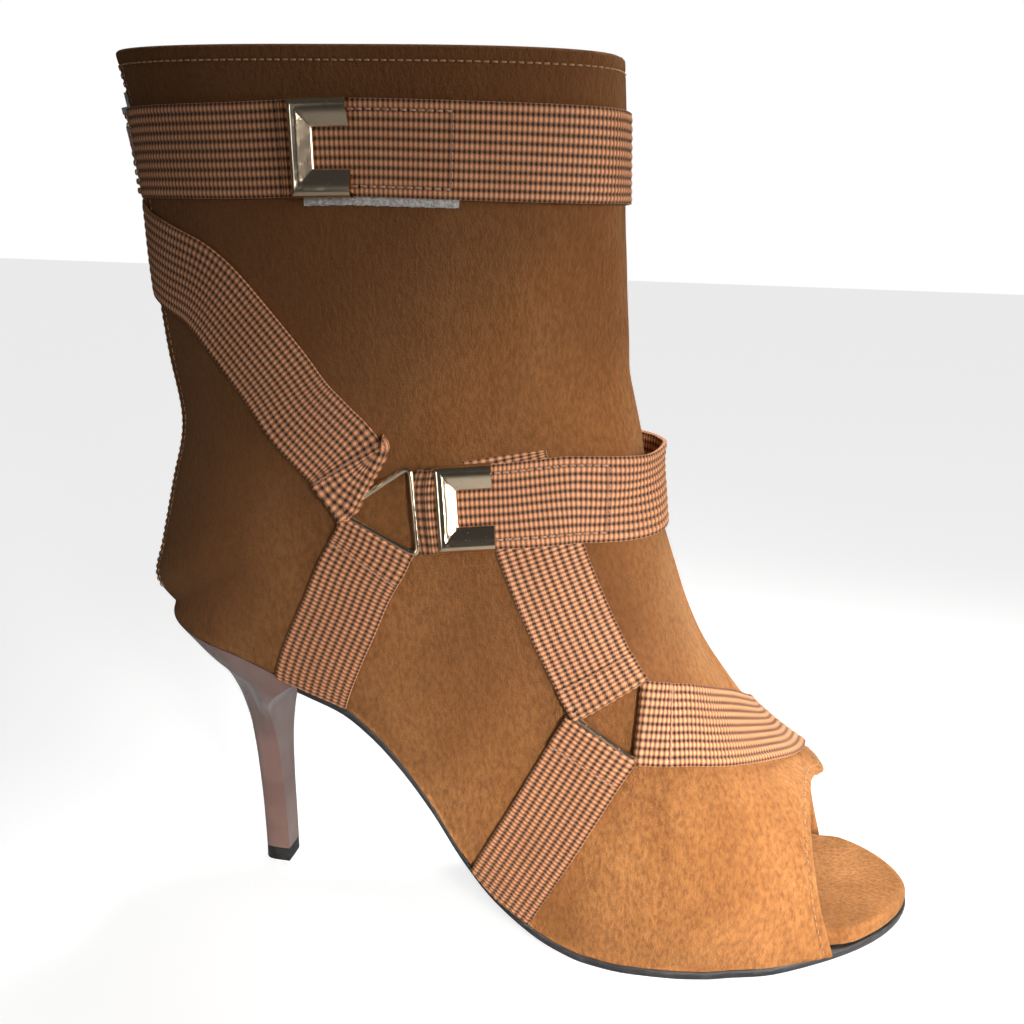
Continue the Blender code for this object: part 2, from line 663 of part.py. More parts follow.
def make_heel():
    around = np.linspace(0, np.pi, 21)
    x, y = tip_ring(0.0)
    seat_x = BREAST_X - (BREAST_X - BACK_X) * np.sin(around)
    way = -np.sign(np.cos(around))
    seat_y = foot_side(seat_x) + way * foot_half(seat_x)
    seat_z = foot_height(seat_x)
    rel = (seat_x - BACK_X) / (BREAST_X - BACK_X)
    tip_z = TOP_PIECE_HIGH + GAP
    loops = []
    for drop, front, back, half, lean in HEEL_ROWS:
        share = back + (front - back) * rel
        loop_x = x + (seat_x - x) * share + lean * TIP_LONG
        loop_y = y + (seat_y - y) * half
        loop_z = seat_z + (tip_z - seat_z) * drop
        loop = np.stack([loop_x, loop_y, loop_z], axis=-1)
        breast = [loop[-1] + (loop[0] - loop[-1]) * k for k in (0.25, 0.5, 0.75)]
        loops.append(np.concatenate([loop, breast]))
    return rings("heel", np.array(loops), LACQUER)


def make_top_piece():
    loops = []
    for height, inset in ((TOP_PIECE_HIGH, 0.0001), (0.0006, 0.0), (0.0, 0.0004)):
        x, y = tip_ring(inset)
        loops.append(np.stack([x, y, np.full(len(x), height)], axis=-1))
    return rings("top_piece", np.array(loops), SOLE_RUBBER)


def make_strap(name, seam, rows):
    s, t, lift, at = band(rows, WEB_WIDE, STRAP_STEP, STRAP_COLUMNS, seam)
    centre = slice(STRAP_COLUMNS // 2, STRAP_COLUMNS // 2 + 1)
    across = np.linspace(-WEB_WIDE / 2, WEB_WIDE / 2, STRAP_COLUMNS)
    most = np.hypot(across, at - at[:, centre])[..., None]
    faces = []
    for stand in (WEB_THICK, 0.0):
        face = on_last(s, t, GAP + lift + stand)
        reach = np.linalg.norm(face - face[:, centre], axis=-1, keepdims=True)
        faces.append(face[:, centre] + (face - face[:, centre]) * np.minimum(1, most / np.maximum(reach, 1e-9)))
    return shell(name, faces[0], faces[1], WEBBING)


def make_ring(name, corners):
    places = []
    for i in range(3):
        a = np.array(corners[i])
        b = np.array(corners[(i + 1) % 3])
        places += [a + (b - a) * k for k in (0.07, 0.28, 0.5, 0.72, 0.93)]
    places = np.array(places)
    middle = places.mean(axis=0)
    places = middle + (places - middle) * RING_FILL
    points = on_last(places[:, 0], places[:, 1], np.full(len(places), GAP + RING_WIRE / 2))
    curve = bpy.data.curves.new(name, "CURVE")
    curve.dimensions = "3D"
    curve.bevel_depth = RING_WIRE / 2
    curve.bevel_resolution = 1
    spline = curve.splines.new("POLY")
    spline.points.add(len(points) - 1)
    for point, place in zip(spline.points, points):
        point.co = (*place, 1.0)
    spline.use_cyclic_u = True
    spline.use_smooth = True
    curve.materials.append(METAL)
    PARTS.objects.link(bpy.data.objects.new(name, curve))


def frame_at(origin, forward, normal):
    """Matrix at origin whose X runs forward along the surface and whose Z is its normal."""
    forward = (forward - normal * forward.dot(normal)).normalized()
    side = normal.cross(forward)
    turn = Matrix((forward, side, normal)).transposed().to_4x4()
    return Matrix.Translation(origin) @ turn


def make_clip(name, strap, share):
    point, normal, heading, lift = path_frame(STRAPS[strap][1], share)
    stand = GAP + lift + WEB_THICK + GAP + CLIP_THICK / 2
    curve = bpy.data.curves.new(name, "CURVE")
    curve.dimensions = "2D"
    curve.fill_mode = "BOTH"
    curve.extrude = CLIP_THICK / 2 - CLIP_ROUND
    curve.bevel_depth = CLIP_ROUND
    curve.bevel_resolution = 2
    edge = CLIP_ROUND
    back = -CLIP_LONG / 2
    front = CLIP_LONG / 2
    top = CLIP_HIGH / 2
    corners = (
        (back + edge, -top + edge),
        (front - edge, -top + edge),
        (front - edge, -top + CLIP_BAR_SIDE - edge),
        (back + CLIP_BAR_BACK - edge, -top + CLIP_BAR_SIDE - edge),
        (back + CLIP_BAR_BACK - edge, top - CLIP_BAR_SIDE + edge),
        (front - edge, top - CLIP_BAR_SIDE + edge),
        (front - edge, top - edge),
        (back + edge, top - edge),
    )
    spline = curve.splines.new("POLY")
    spline.points.add(len(corners) - 1)
    for place, corner in zip(spline.points, corners):
        place.co = (*corner, 0.0, 1.0)
    spline.use_cyclic_u = True
    curve.materials.append(METAL)
    made = bpy.data.objects.new(name, curve)
    made.matrix_world = frame_at(point + normal * stand, heading, normal)
    PARTS.objects.link(made)


def make_backing():
    """Narrow tape just under the collar strap's lower edge."""
    rows = np.array(STRAPS["strap_collar"][1])
    places = np.linspace(BACKING_FROM, BACKING_TO, 12)
    middle = np.interp(places, rows[:, 1], rows[:, 0])
    down = np.broadcast_to([0.0, 0.0, -1.0], (len(places), 3))
    edges = []
    for drop in (WEB_WIDE / 2 + GAP, WEB_WIDE / 2 + GAP + BACKING_WIDE / 2, WEB_WIDE / 2 + GAP + BACKING_WIDE):
        edges.append(step_over(middle, places, down, np.full(len(places), drop)))
    s = np.stack([edge[0] for edge in edges], axis=1)
    t = np.stack([edge[1] for edge in edges], axis=1)
    inner = on_last(s, t, np.full(s.shape, GAP))
    outer = on_last(s, t, np.full(s.shape, GAP + BACKING_THICK))
    return shell("backing_tape", outer, inner, TAPE)


def make_zip():
    rows = [(s, 1.0, 0.0, 0.0) for s in np.linspace(ZIP_FROM, ZIP_TO, 7)]
    s, t, _, _ = band(rows, ZIP_WIDE, STRAP_STEP, 5)
    inner = on_last(s, t, np.full(s.shape, GAP))
    outer = on_last(s, t, np.full(s.shape, GAP + ZIP_THICK))
    return shell("zip_teeth", outer, inner, ZIP_BLACK)


def helper(made, matrix):
    """Puts a shape that only cuts or joins into the cutters' collection."""
    made.matrix_world = matrix
    made.hide_render = True
    made.display_type = "WIRE"
    CUTTERS.objects.link(made)
    return made


def block(name, size, middle, matrix):
    """Box of a size about a middle, both in the frame of matrix."""
    mesh = bpy.data.meshes.new(name)
    work = bmesh.new()
    bmesh.ops.create_cube(work, size=1.0)
    bmesh.ops.scale(work, vec=size, verts=work.verts)
    bmesh.ops.translate(work, vec=middle, verts=work.verts)
    work.to_mesh(mesh)
    work.free()
    return helper(bpy.data.objects.new(name, mesh), matrix)


def rod(name, radius, length, middle, matrix):
    """Rod along the frame's Y about a middle, both in the frame of matrix."""
    mesh = bpy.data.meshes.new(name)
    work = bmesh.new()
    bmesh.ops.create_cone(work, cap_ends=True, segments=20, radius1=radius, radius2=radius, depth=length)
    bmesh.ops.rotate(work, matrix=Matrix.Rotation(np.pi / 2, 3, "X"), verts=work.verts)
    bmesh.ops.translate(work, vec=middle, verts=work.verts)
    work.to_mesh(mesh)
    work.free()
    return helper(bpy.data.objects.new(name, mesh), matrix)


def combined(name, first, steps, matrix, look):
    """Object made from a first shape by Boolean steps, with its origin at the frame of matrix."""
    made = bpy.data.objects.new(name, first.data.copy())
    made.matrix_world = matrix
    made.data.materials.append(look)
    PARTS.objects.link(made)
    for i, (operation, other) in enumerate(steps):
        boolean = made.modifiers.new(f"step_{i}", "BOOLEAN")
        boolean.operation = operation
        boolean.solver = "EXACT"
        boolean.object = other
    return made


def make_slider_and_pull():
    """Slider on the zip and the pull that hangs from its pin. X of their frame points up the zip, Y
    across it and Z away from the boot."""
    s = np.array([ZIP_SLIDER_AT - 0.1, ZIP_SLIDER_AT, ZIP_SLIDER_AT + 0.1])
    point, normal, _, _ = last_frame(s, np.ones(3))
    away = Vector((normal[1][0], 0.0, normal[1][2])).normalized()
    up = Vector(point[2] - point[0])
    stand = GAP + ZIP_THICK + GAP
    body_at = frame_at(Vector(point[1]) + away * stand, up, away)
    pin_high = SLIDER_THICK + GAP + EYE_WIDE / 2
    lug_y = EYE_LONG / 2 + GAP + LUG_THICK / 2
    body = block("slider_body", (SLIDER_LONG, SLIDER_WIDE, SLIDER_THICK), (0, 0, SLIDER_THICK / 2), body_at)
    steps = []
    for way in (-1, 1):
        high = pin_high + PIN_WIDE / 2
        lug = block(f"slider_lug_{way + 1}", (EYE_WIDE, LUG_THICK, high), (0, way * lug_y, high / 2 + GAP), body_at)
        steps.append(("UNION", lug))
    steps.append(("UNION", rod("slider_pin", PIN_WIDE / 2, 2 * lug_y, (0, 0, pin_high), body_at)))
    combined("zip_slider", body, steps, body_at, ZIP_BLACK)

    pin_at = body_at @ Matrix.Translation((0, 0, pin_high))
    eye = rod("pull_eye", EYE_WIDE / 2, EYE_LONG, (0, 0, 0), pin_at)
    neck_long = SLIDER_LONG / 2
    neck = block("pull_neck", (neck_long, EYE_LONG, PULL_THICK), (-neck_long / 2, 0, 0), pin_at)
    plate_long = PULL_LONG - neck_long
    plate_middle = (-neck_long - plate_long / 2 + GAP, 0, 0)
    plate = block("pull_plate", (plate_long, PULL_WIDE, PULL_THICK), plate_middle, pin_at)
    hole = rod("pull_hole", PIN_WIDE / 2 + GAP, 2 * EYE_LONG, (0, 0, 0), pin_at)
    combined("zip_pull", eye, [("UNION", neck), ("UNION", plate), ("DIFFERENCE", hole)], pin_at, ZIP_BLACK)


for old in list(bpy.data.objects):
    bpy.data.objects.remove(old)
PARTS = bpy.data.collections.new("peep_toe_ankle_boot")
CUTTERS = bpy.data.collections.new("cutters")
bpy.context.scene.collection.children.link(PARTS)
bpy.context.scene.collection.children.link(CUTTERS)
CUTTERS.hide_render = True

SUEDE = material("suede", (0.42, 0.22, 0.10), 0.95)
SOLE_RUBBER = material("sole_rubber", (0.05, 0.05, 0.05), 0.6)
LACQUER = material("lacquer", (0.25, 0.17, 0.14), 0.2, coat=0.6)
WEBBING = material("webbing", (0.30, 0.13, 0.06), 0.8)
METAL = material("champagne_metal", (0.80, 0.68, 0.48), 0.2, metal=1.0)
TAPE = material("backing_tape", (0.60, 0.58, 0.54), 0.9)
ZIP_BLACK = material("zip_black", (0.02, 0.02, 0.02), 0.4)

make_upper()
make_insole()
make_outsole()
make_heel()
make_top_piece()
for strap, (seam, rows) in STRAPS.items():
    make_strap(strap, seam, rows)
for ring, corners in RINGS.items():
    make_ring(ring, corners)
for clip, (strap, share) in CLIPS.items():
    make_clip(clip, strap, share)
make_backing()
make_zip()
make_slider_and_pull()
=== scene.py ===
import bmesh
import bpy
import numpy as np
from mathutils import Matrix


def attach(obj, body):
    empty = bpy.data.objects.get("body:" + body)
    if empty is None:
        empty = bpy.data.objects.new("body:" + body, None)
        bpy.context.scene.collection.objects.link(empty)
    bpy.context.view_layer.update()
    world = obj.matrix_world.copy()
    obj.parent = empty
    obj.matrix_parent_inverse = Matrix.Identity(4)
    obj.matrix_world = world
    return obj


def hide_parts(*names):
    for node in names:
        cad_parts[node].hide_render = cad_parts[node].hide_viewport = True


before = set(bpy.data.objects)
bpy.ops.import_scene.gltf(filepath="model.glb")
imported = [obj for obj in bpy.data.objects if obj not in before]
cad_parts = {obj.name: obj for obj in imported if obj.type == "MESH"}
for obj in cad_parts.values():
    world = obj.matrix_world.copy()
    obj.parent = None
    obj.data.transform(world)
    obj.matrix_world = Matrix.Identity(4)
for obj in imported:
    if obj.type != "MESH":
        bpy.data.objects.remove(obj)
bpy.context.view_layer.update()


# The studio: a plain pale floor with a white surround. One broad lamp stands ahead of the toe, above
# and on the camera's side, a smaller one lights the strap side from the left, and the camera stands
# where the photograph was taken, tilted down and rolled a little.
CAMERA_AT = (0.124041, -0.308208, 0.1904)
CAMERA_YAW = 0.184
CAMERA_PITCH = 0.356
CAMERA_ROLL = 0.025
CAMERA_FOCAL = 1205.246
CAMERA_MIDDLE = (500.537, 648.414)
IMAGE_SIDE = 1024


def aim(forward, roll):
    """Right, up and back directions of a camera or lamp that looks along forward: right is level,
    up is square to both, and both turn about forward by roll."""
    forward = np.array(forward, float) / np.linalg.norm(forward)
    right = np.cross(forward, (0, 0, 1))
    right /= np.linalg.norm(right)
    up = np.cross(right, forward)
    return np.cos(roll) * right + np.sin(roll) * up, np.cos(roll) * up - np.sin(roll) * right, -forward


def placed(obj, place, forward, roll=0.0):
    """Puts a camera or lamp at place, looking along forward."""
    turn = np.stack(aim(forward, roll), axis=1)
    obj.matrix_world = Matrix([[*turn[i], place[i]] for i in range(3)] + [[0, 0, 0, 1]])
    bpy.context.scene.collection.objects.link(obj)
    return obj


view = bpy.data.cameras.new("photo_view")
view.sensor_width = 36
view.lens = 36 * CAMERA_FOCAL / IMAGE_SIDE
view.shift_x = 0.5 - CAMERA_MIDDLE[0] / IMAGE_SIDE
view.shift_y = CAMERA_MIDDLE[1] / IMAGE_SIDE - 0.5
view.clip_start = 0.01
looking = (
    -np.sin(CAMERA_YAW) * np.cos(CAMERA_PITCH),
    np.cos(CAMERA_YAW) * np.cos(CAMERA_PITCH),
    -np.sin(CAMERA_PITCH),
)
camera = placed(bpy.data.objects.new("photo_view", view), CAMERA_AT, looking, CAMERA_ROLL)
bpy.context.scene.camera = camera


def lamp(name, place, target, size, power, colour, spread=180):
    """Square area lamp at place, facing target, with a grid that narrows its light to spread degrees."""
    light = bpy.data.lights.new(name, "AREA")
    light.size = size
    light.spread = np.radians(spread)
    light.energy = power
    light.color = colour
    return placed(bpy.data.objects.new(name, light), place, np.subtract(target, place))


lamp("rim_lamp", (0.62, -0.20, 0.30), (0.07, 0.0, 0.12), 0.30, 2.0, (1.0, 0.97, 0.93))
lamp("toe_lamp", (0.50, -0.62, 0.26), (0.155, -0.02, 0.015), 0.22, 0.33, (1.0, 0.97, 0.93), spread=26)
lamp("top_lamp", (0.20, 0.40, 1.05), (0.21, -0.01, 0.0), 0.40, 0.62, (1.0, 1.0, 1.0), spread=24)
lamp("left_lamp", (-0.50, -0.70, 0.20), (0.0, 0.0, 0.03), 0.30, 0.08, (0.95, 0.97, 1.0), spread=40)

world = bpy.data.worlds.new("pale_surround")
world.use_nodes = True
world.node_tree.nodes["Background"].inputs["Strength"].default_value = 1.0
shown = world.node_tree.nodes.new("ShaderNodeLightPath").outputs["Is Camera Ray"]
shade = world.node_tree.nodes.new("ShaderNodeMix")
shade.data_type = "RGBA"
shade.inputs[6].default_value = (0.045, 0.045, 0.047, 1.0)
shade.inputs[7].default_value = (1.0, 1.0, 1.0, 1.0)
world.node_tree.links.new(shown, shade.inputs[0])
world.node_tree.links.new(shade.outputs[2], world.node_tree.nodes["Background"].inputs["Color"])
bpy.context.scene.world = world
bpy.context.scene.view_settings.view_transform = "Standard"


def add(made, kind, inputs=None, **settings):
    """Adds a node to a material. inputs: values or sockets by name or number. settings: its properties."""
    node = made.node_tree.nodes.new("ShaderNode" + kind)
    for key, value in settings.items():
        setattr(node, key, value)
    for key, value in (inputs or {}).items():
        if isinstance(value, bpy.types.NodeSocket):
            made.node_tree.links.new(value, node.inputs[key])
        else:
            node.inputs[key].default_value = value
    return node


def finish_of(name, inputs):
    """New material whose Principled shader has these inputs set to a value or linked from a socket."""
    made = bpy.data.materials.get(name) or bpy.data.materials.new(name)
    made.use_nodes = True
    shader = made.node_tree.nodes["Principled BSDF"]
    for key, value in inputs(made).items():
        if isinstance(value, bpy.types.NodeSocket):
            made.node_tree.links.new(value, shader.inputs[key])
        else:
            shader.inputs[key].default_value = value
    return made


def piece(name, points, faces, looks, uv=None, face_looks=None, smooth=True, sharp=None):
    """Mesh object from points, quads or other faces of one size, and one or more materials. uv: one
    pair for each point."""
    mesh = bpy.data.meshes.new(name)
    points = np.asarray(points, float).reshape(-1, 3)
    faces = np.asarray(faces, int)
    mesh.vertices.add(len(points))
    mesh.vertices.foreach_set("co", points.ravel())
    mesh.loops.add(faces.size)
    mesh.loops.foreach_set("vertex_index", faces.ravel())
    mesh.polygons.add(len(faces))
    mesh.polygons.foreach_set("loop_start", np.arange(len(faces)) * faces.shape[1])
    mesh.polygons.foreach_set("use_smooth", np.full(len(faces), smooth))
    for look in np.atleast_1d(looks):
        mesh.materials.append(look)
    if face_looks is not None:
        mesh.polygons.foreach_set("material_index", np.asarray(face_looks, int))
    if uv is not None:
        layer = mesh.uv_layers.new(name="UVMap")
        layer.data.foreach_set("uv", np.asarray(uv, float).reshape(-1, 2)[faces.ravel()].ravel())
    mesh.update(calc_edges=True)
    mesh.validate()
    if sharp is not None:
        mesh.set_sharp_from_angle(angle=sharp)
    made = bpy.data.objects.new(name, mesh)
    bpy.context.scene.collection.objects.link(made)
    return made


def grid_faces(rows, columns, round_rows=False, round_columns=False, start=0):
    """Quads of a grid of points, closed round either way if asked."""
    i = np.arange(rows if round_rows else rows - 1)[:, None]
    j = np.arange(columns if round_columns else columns - 1)[None, :]
    k = (i + 1) % rows
    m = (j + 1) % columns
    corners = (i * columns + j, i * columns + m, k * columns + m, k * columns + j)
    return start + np.stack(np.broadcast_arrays(*corners), axis=-1).reshape(-1, 4)


def floor_look(made):
    """Pale sheet, lit from below like a light table as far as the camera sees it."""
    shown = add(made, "LightPath").outputs["Is Camera Ray"]
    glow = add(made, "Math", {0: shown, 1: 0.80}, operation="MULTIPLY").outputs[0]
    return {
        "Base Color": (0.45, 0.45, 0.45, 1.0),
        "Roughness": 0.6,
        "Specular IOR Level": 0.1,
        "Emission Color": (1.0, 1.0, 1.0, 1.0),
        "Emission Strength": glow,
    }


floor = piece(
    "floor",
    [(-3, -3, 0), (3, -3, 0), (3, 3, 0), (-3, 3, 0)],
    [(0, 1, 2, 3)],
    finish_of("pale_floor", floor_look),
)


# The upper: one piece of camel microsuede with a black lining, sewn up the front and closed at the
# back by a zip. It is pulled over the last, turned in round the collar and the peep toe, topstitched
# there, and cemented under the insole along its foot edge.
LENGTH = 0.2150
HEIGHT = 0.2210
BALL_WIDTH = 0.0780
SHAFT_WIDTH = 0.0520
GAP = 0.0003
WALL = 0.0018
SOLE_THICK = 0.0024
SEAM_DEEP = 0.0005
SEAM_WIDE = 0.0006
TOPSTITCH_IN = 0.0024
MOUTH_STITCH_IN = 0.0016
FACING = 0.0060

# Foot line, heel to toe: where the upper stands on the sole.
# along: share of LENGTH. rise: share of HEIGHT. side and half: shares of BALL_WIDTH.
FOOT_ROWS = (
    # along, rise, side, half
    (-0.1350, 0.3613, 0.0000, 0.3380),
    (-0.0930, 0.3523, 0.0000, 0.3370),
    (-0.0465, 0.3414, 0.0000, 0.3360),
    (0.0000, 0.3272, 0.0000, 0.3350),
    (0.0465, 0.3093, -0.0050, 0.3340),
    (0.0930, 0.2929, -0.0100, 0.3310),
    (0.1349, 0.2766, -0.0180, 0.3250),
    (0.1721, 0.2503, -0.0270, 0.3200),
    (0.2093, 0.2141, -0.0350, 0.3180),
    (0.2512, 0.1634, -0.0420, 0.3230),
    (0.2930, 0.1055, -0.0480, 0.3380),
    (0.3349, 0.0606, -0.0500, 0.3600),
    (0.3791, 0.0306, -0.0490, 0.3900),
    (0.4186, 0.0117, -0.0370, 0.4200),
    (0.4558, 0.0031, -0.0290, 0.4480),
    (0.5116, 0.0000, -0.0140, 0.4780),
    (0.5674, 0.0000, 0.0040, 0.4890),
    (0.6047, 0.0022, 0.0150, 0.4900),
    (0.6419, 0.0063, 0.0260, 0.4840),
    (0.6791, 0.0113, 0.0290, 0.4860),
    (0.7116, 0.0162, 0.0350, 0.4830),
    (0.7442, 0.0212, 0.0385, 0.4810),
    (0.7814, 0.0258, 0.0400, 0.4810),
    (0.8186, 0.0294, 0.0400, 0.4810),
    (0.8605, 0.0321, 0.0400, 0.4810),
)

# Ends of the outline: where each rounding starts and ends along the foot, with its power.
SEAT_ROUND_FROM = -0.0190
SEAT_ROUND_END = -0.1230
SEAT_POWER = 0.50
TOE_ROUND_FROM = 0.6279
TOE_ROUND_END = 0.8558
TOE_POWER = 0.58

# Lower part of the last, from the peep toe to the back of the seat. The section leans from its foot
# to its crest. base and crest_x: shares of LENGTH. crest_z: share of HEIGHT. out and inn: widest
# half widths, shares of BALL_WIDTH. belly: height of the widest place, share of the section.
VAMP_ROWS = (
    # base, crest_x, crest_z, out, inn, belly, top, low
    (0.7330, 0.7150, 0.2130, 0.3850, 0.4400, 0.30, 2.10, 2.2),
    (0.6850, 0.6710, 0.2440, 0.4420, 0.4650, 0.30, 2.05, 2.2),
    (0.6410, 0.6310, 0.2790, 0.4850, 0.4950, 0.30, 2.00, 2.2),
    (0.5910, 0.5960, 0.3240, 0.5150, 0.5100, 0.30, 1.95, 2.2),
    (0.5350, 0.5650, 0.3700, 0.5250, 0.4950, 0.29, 1.90, 2.2),
    (0.4740, 0.5410, 0.4160, 0.5120, 0.4620, 0.28, 1.85, 2.2),
    (0.4190, 0.5220, 0.4650, 0.4850, 0.4330, 0.28, 1.85, 2.2),
    (0.3580, 0.5060, 0.5080, 0.4480, 0.4050, 0.28, 1.85, 2.2),
    (0.2930, 0.4920, 0.5480, 0.4180, 0.3860, 0.28, 1.85, 2.2),
    (0.2280, 0.4800, 0.5830, 0.3980, 0.3760, 0.28, 1.85, 2.2),
    (0.1530, 0.4740, 0.6150, 0.3850, 0.3680, 0.28, 1.88, 2.2),
    (0.0650, 0.4680, 0.6400, 0.3760, 0.3600, 0.29, 1.90, 2.2),
    (-0.0280, 0.4625, 0.6620, 0.3700, 0.3540, 0.30, 1.92, 2.2),
    (-0.0880, 0.4580, 0.6820, 0.3620, 0.3500, 0.31, 1.95, 2.2),
    (-0.1130, 0.4565, 0.6970, 0.3570, 0.3460, 0.32, 1.95, 2.2),
    (-0.1230, 0.4555, 0.7120, 0.3520, 0.3420, 0.33, 1.98, 2.2),
)

# Upper part of the last, from the back of the seat to the collar, closed at the back.
# out and inn: shares of SHAFT_WIDTH, belly: share from the back.
SHAFT_ROWS = (
    # back_x, back_z, crest_x, crest_z, out, inn, belly, top, low
    (-0.1475, 0.4020, 0.4535, 0.7340, 0.5180, 0.5040, 0.35, 2.00, 2.20),
    (-0.1365, 0.4500, 0.4510, 0.7570, 0.5050, 0.4930, 0.38, 2.05, 2.20),
    (-0.1185, 0.5240, 0.4485, 0.7800, 0.4860, 0.4800, 0.42, 2.10, 2.20),
    (-0.1005, 0.6000, 0.4460, 0.8030, 0.4760, 0.4760, 0.45, 2.20, 2.20),
    (-0.1130, 0.6860, 0.4430, 0.8270, 0.4780, 0.4780, 0.47, 2.35, 2.20),
    (-0.1215, 0.7760, 0.4405, 0.8500, 0.4850, 0.4850, 0.48, 2.50, 2.25),
    (-0.1250, 0.8600, 0.4380, 0.8800, 0.4900, 0.4900, 0.48, 2.70, 2.30),
    (-0.1340, 0.9400, 0.4345, 0.9400, 0.4940, 0.4940, 0.48, 2.80, 2.35),
    (-0.1490, 1.0000, 0.4290, 1.0000, 0.5000, 0.5000, 0.48, 2.80, 2.35),
)

# Peep toe edge: how far forward the first section goes, from the outer foot (-1) to the inner (1).
MOUTH_T = (-1.00, -0.70, -0.40, -0.16, -0.05, 0.06, 0.16, 0.40, 0.70, 1.00)
MOUTH_X = (0.0040, 0.0005, -0.0012, -0.0006, 0.0010, 0.0036, 0.0024, 0.0006, 0.0012, 0.0040)
# Share of LENGTH where the foot edge of the peep toe ends and the insole shows.
MOUTH_FRONT = 0.7580


def smooth(keys, values, at):
    """Shape-keeping cubic through the points (keys, values), read at each place of at."""
    keys = np.asarray(keys, float)
    values = np.asarray(values, float)
    step = np.diff(keys)
    slope = np.diff(values) / step
    inner = np.where(
        slope[1:] * slope[:-1] > 0,
        2 * slope[1:] * slope[:-1] / np.where(slope[1:] + slope[:-1] == 0, 1, slope[1:] + slope[:-1]),
        0,
    )
    tangent = np.concatenate([slope[:1], inner, slope[-1:]])
    at = np.clip(at, keys[0], keys[-1])
    i = np.clip(np.searchsorted(keys, at, side="right") - 1, 0, len(step) - 1)
    h = step[i]
    u = (at - keys[i]) / h
    return (
        (1 + 2 * u) * (1 - u) ** 2 * values[i]
        + u * (1 - u) ** 2 * h * tangent[i]
        + u * u * (3 - 2 * u) * values[i + 1]
        + u * u * (u - 1) * h * tangent[i + 1]
    )


def flowing(values, at):
    """Catmull-Rom curve through evenly keyed values, read at each place of at."""
    values = np.asarray(values, float)
    padded = np.concatenate([[2 * values[0] - values[1]], values, [2 * values[-1] - values[-2]]])
    at = np.clip(at, 0, len(values) - 1)
    i = np.minimum(at.astype(int), len(values) - 2)
    u = at - i
    a, b, c, d = padded[i], padded[i + 1], padded[i + 2], padded[i + 3]
    return b + 0.5 * u * (c - a + u * (2 * a - 5 * b + 4 * c - d + u * (3 * (b - c) + d - a)))


FOOT = np.array(FOOT_ROWS)
FOOT_X = FOOT[:, 0] * LENGTH
BACK_X = SEAT_ROUND_END * LENGTH
TOE_X = TOE_ROUND_END * LENGTH


def foot_height(x):
    """Height of the foot line above the floor at x."""
    return SOLE_THICK + smooth(FOOT_X, FOOT[:, 1] * HEIGHT, x)


def foot_side(x):
    """Sideways place of the middle of the foot line at x."""
    return smooth(FOOT_X, FOOT[:, 2] * BALL_WIDTH, x)


def foot_half(x):
    """Half width of the foot line at x, rounded off at the seat and at the toe."""
    half = smooth(FOOT_X, FOOT[:, 3] * BALL_WIDTH, x)
    seat_from = SEAT_ROUND_FROM * LENGTH
    toe_from = TOE_ROUND_FROM * LENGTH
    seat = np.clip((seat_from - x) / (seat_from - BACK_X), 0, 1)
    toe = np.clip((x - toe_from) / (TOE_X - toe_from), 0, 1)
    return half * (1 - seat**2) ** SEAT_POWER * (1 - toe**2) ** TOE_POWER


def last_columns():
    """The columns of both tables in metres, one row for each section from the peep toe to the collar."""
    vamp = np.array(VAMP_ROWS)
    shaft = np.array(SHAFT_ROWS)
    base_x = vamp[:, 0] * LENGTH
    lower = np.stack(
        [
            base_x,
            foot_height(base_x) + GAP,
            vamp[:, 1] * LENGTH,
            vamp[:, 2] * HEIGHT,
            vamp[:, 3] * BALL_WIDTH,
            vamp[:, 4] * BALL_WIDTH,
            vamp[:, 5],
            vamp[:, 6],
            vamp[:, 7],
        ]
    )
    upper = np.stack(
        [
            shaft[:, 0] * LENGTH,
            shaft[:, 1] * HEIGHT,
            shaft[:, 2] * LENGTH,
            shaft[:, 3] * HEIGHT,
            shaft[:, 4] * SHAFT_WIDTH,
            shaft[:, 5] * SHAFT_WIDTH,
            shaft[:, 6],
            shaft[:, 7],
            shaft[:, 8],
        ]
    )
    return np.concatenate([lower, upper], axis=1)


COLUMNS = last_columns()
SEAT_ROW = float(len(VAMP_ROWS) - 1)
COLLAR_ROW = float(COLUMNS.shape[1] - 1)


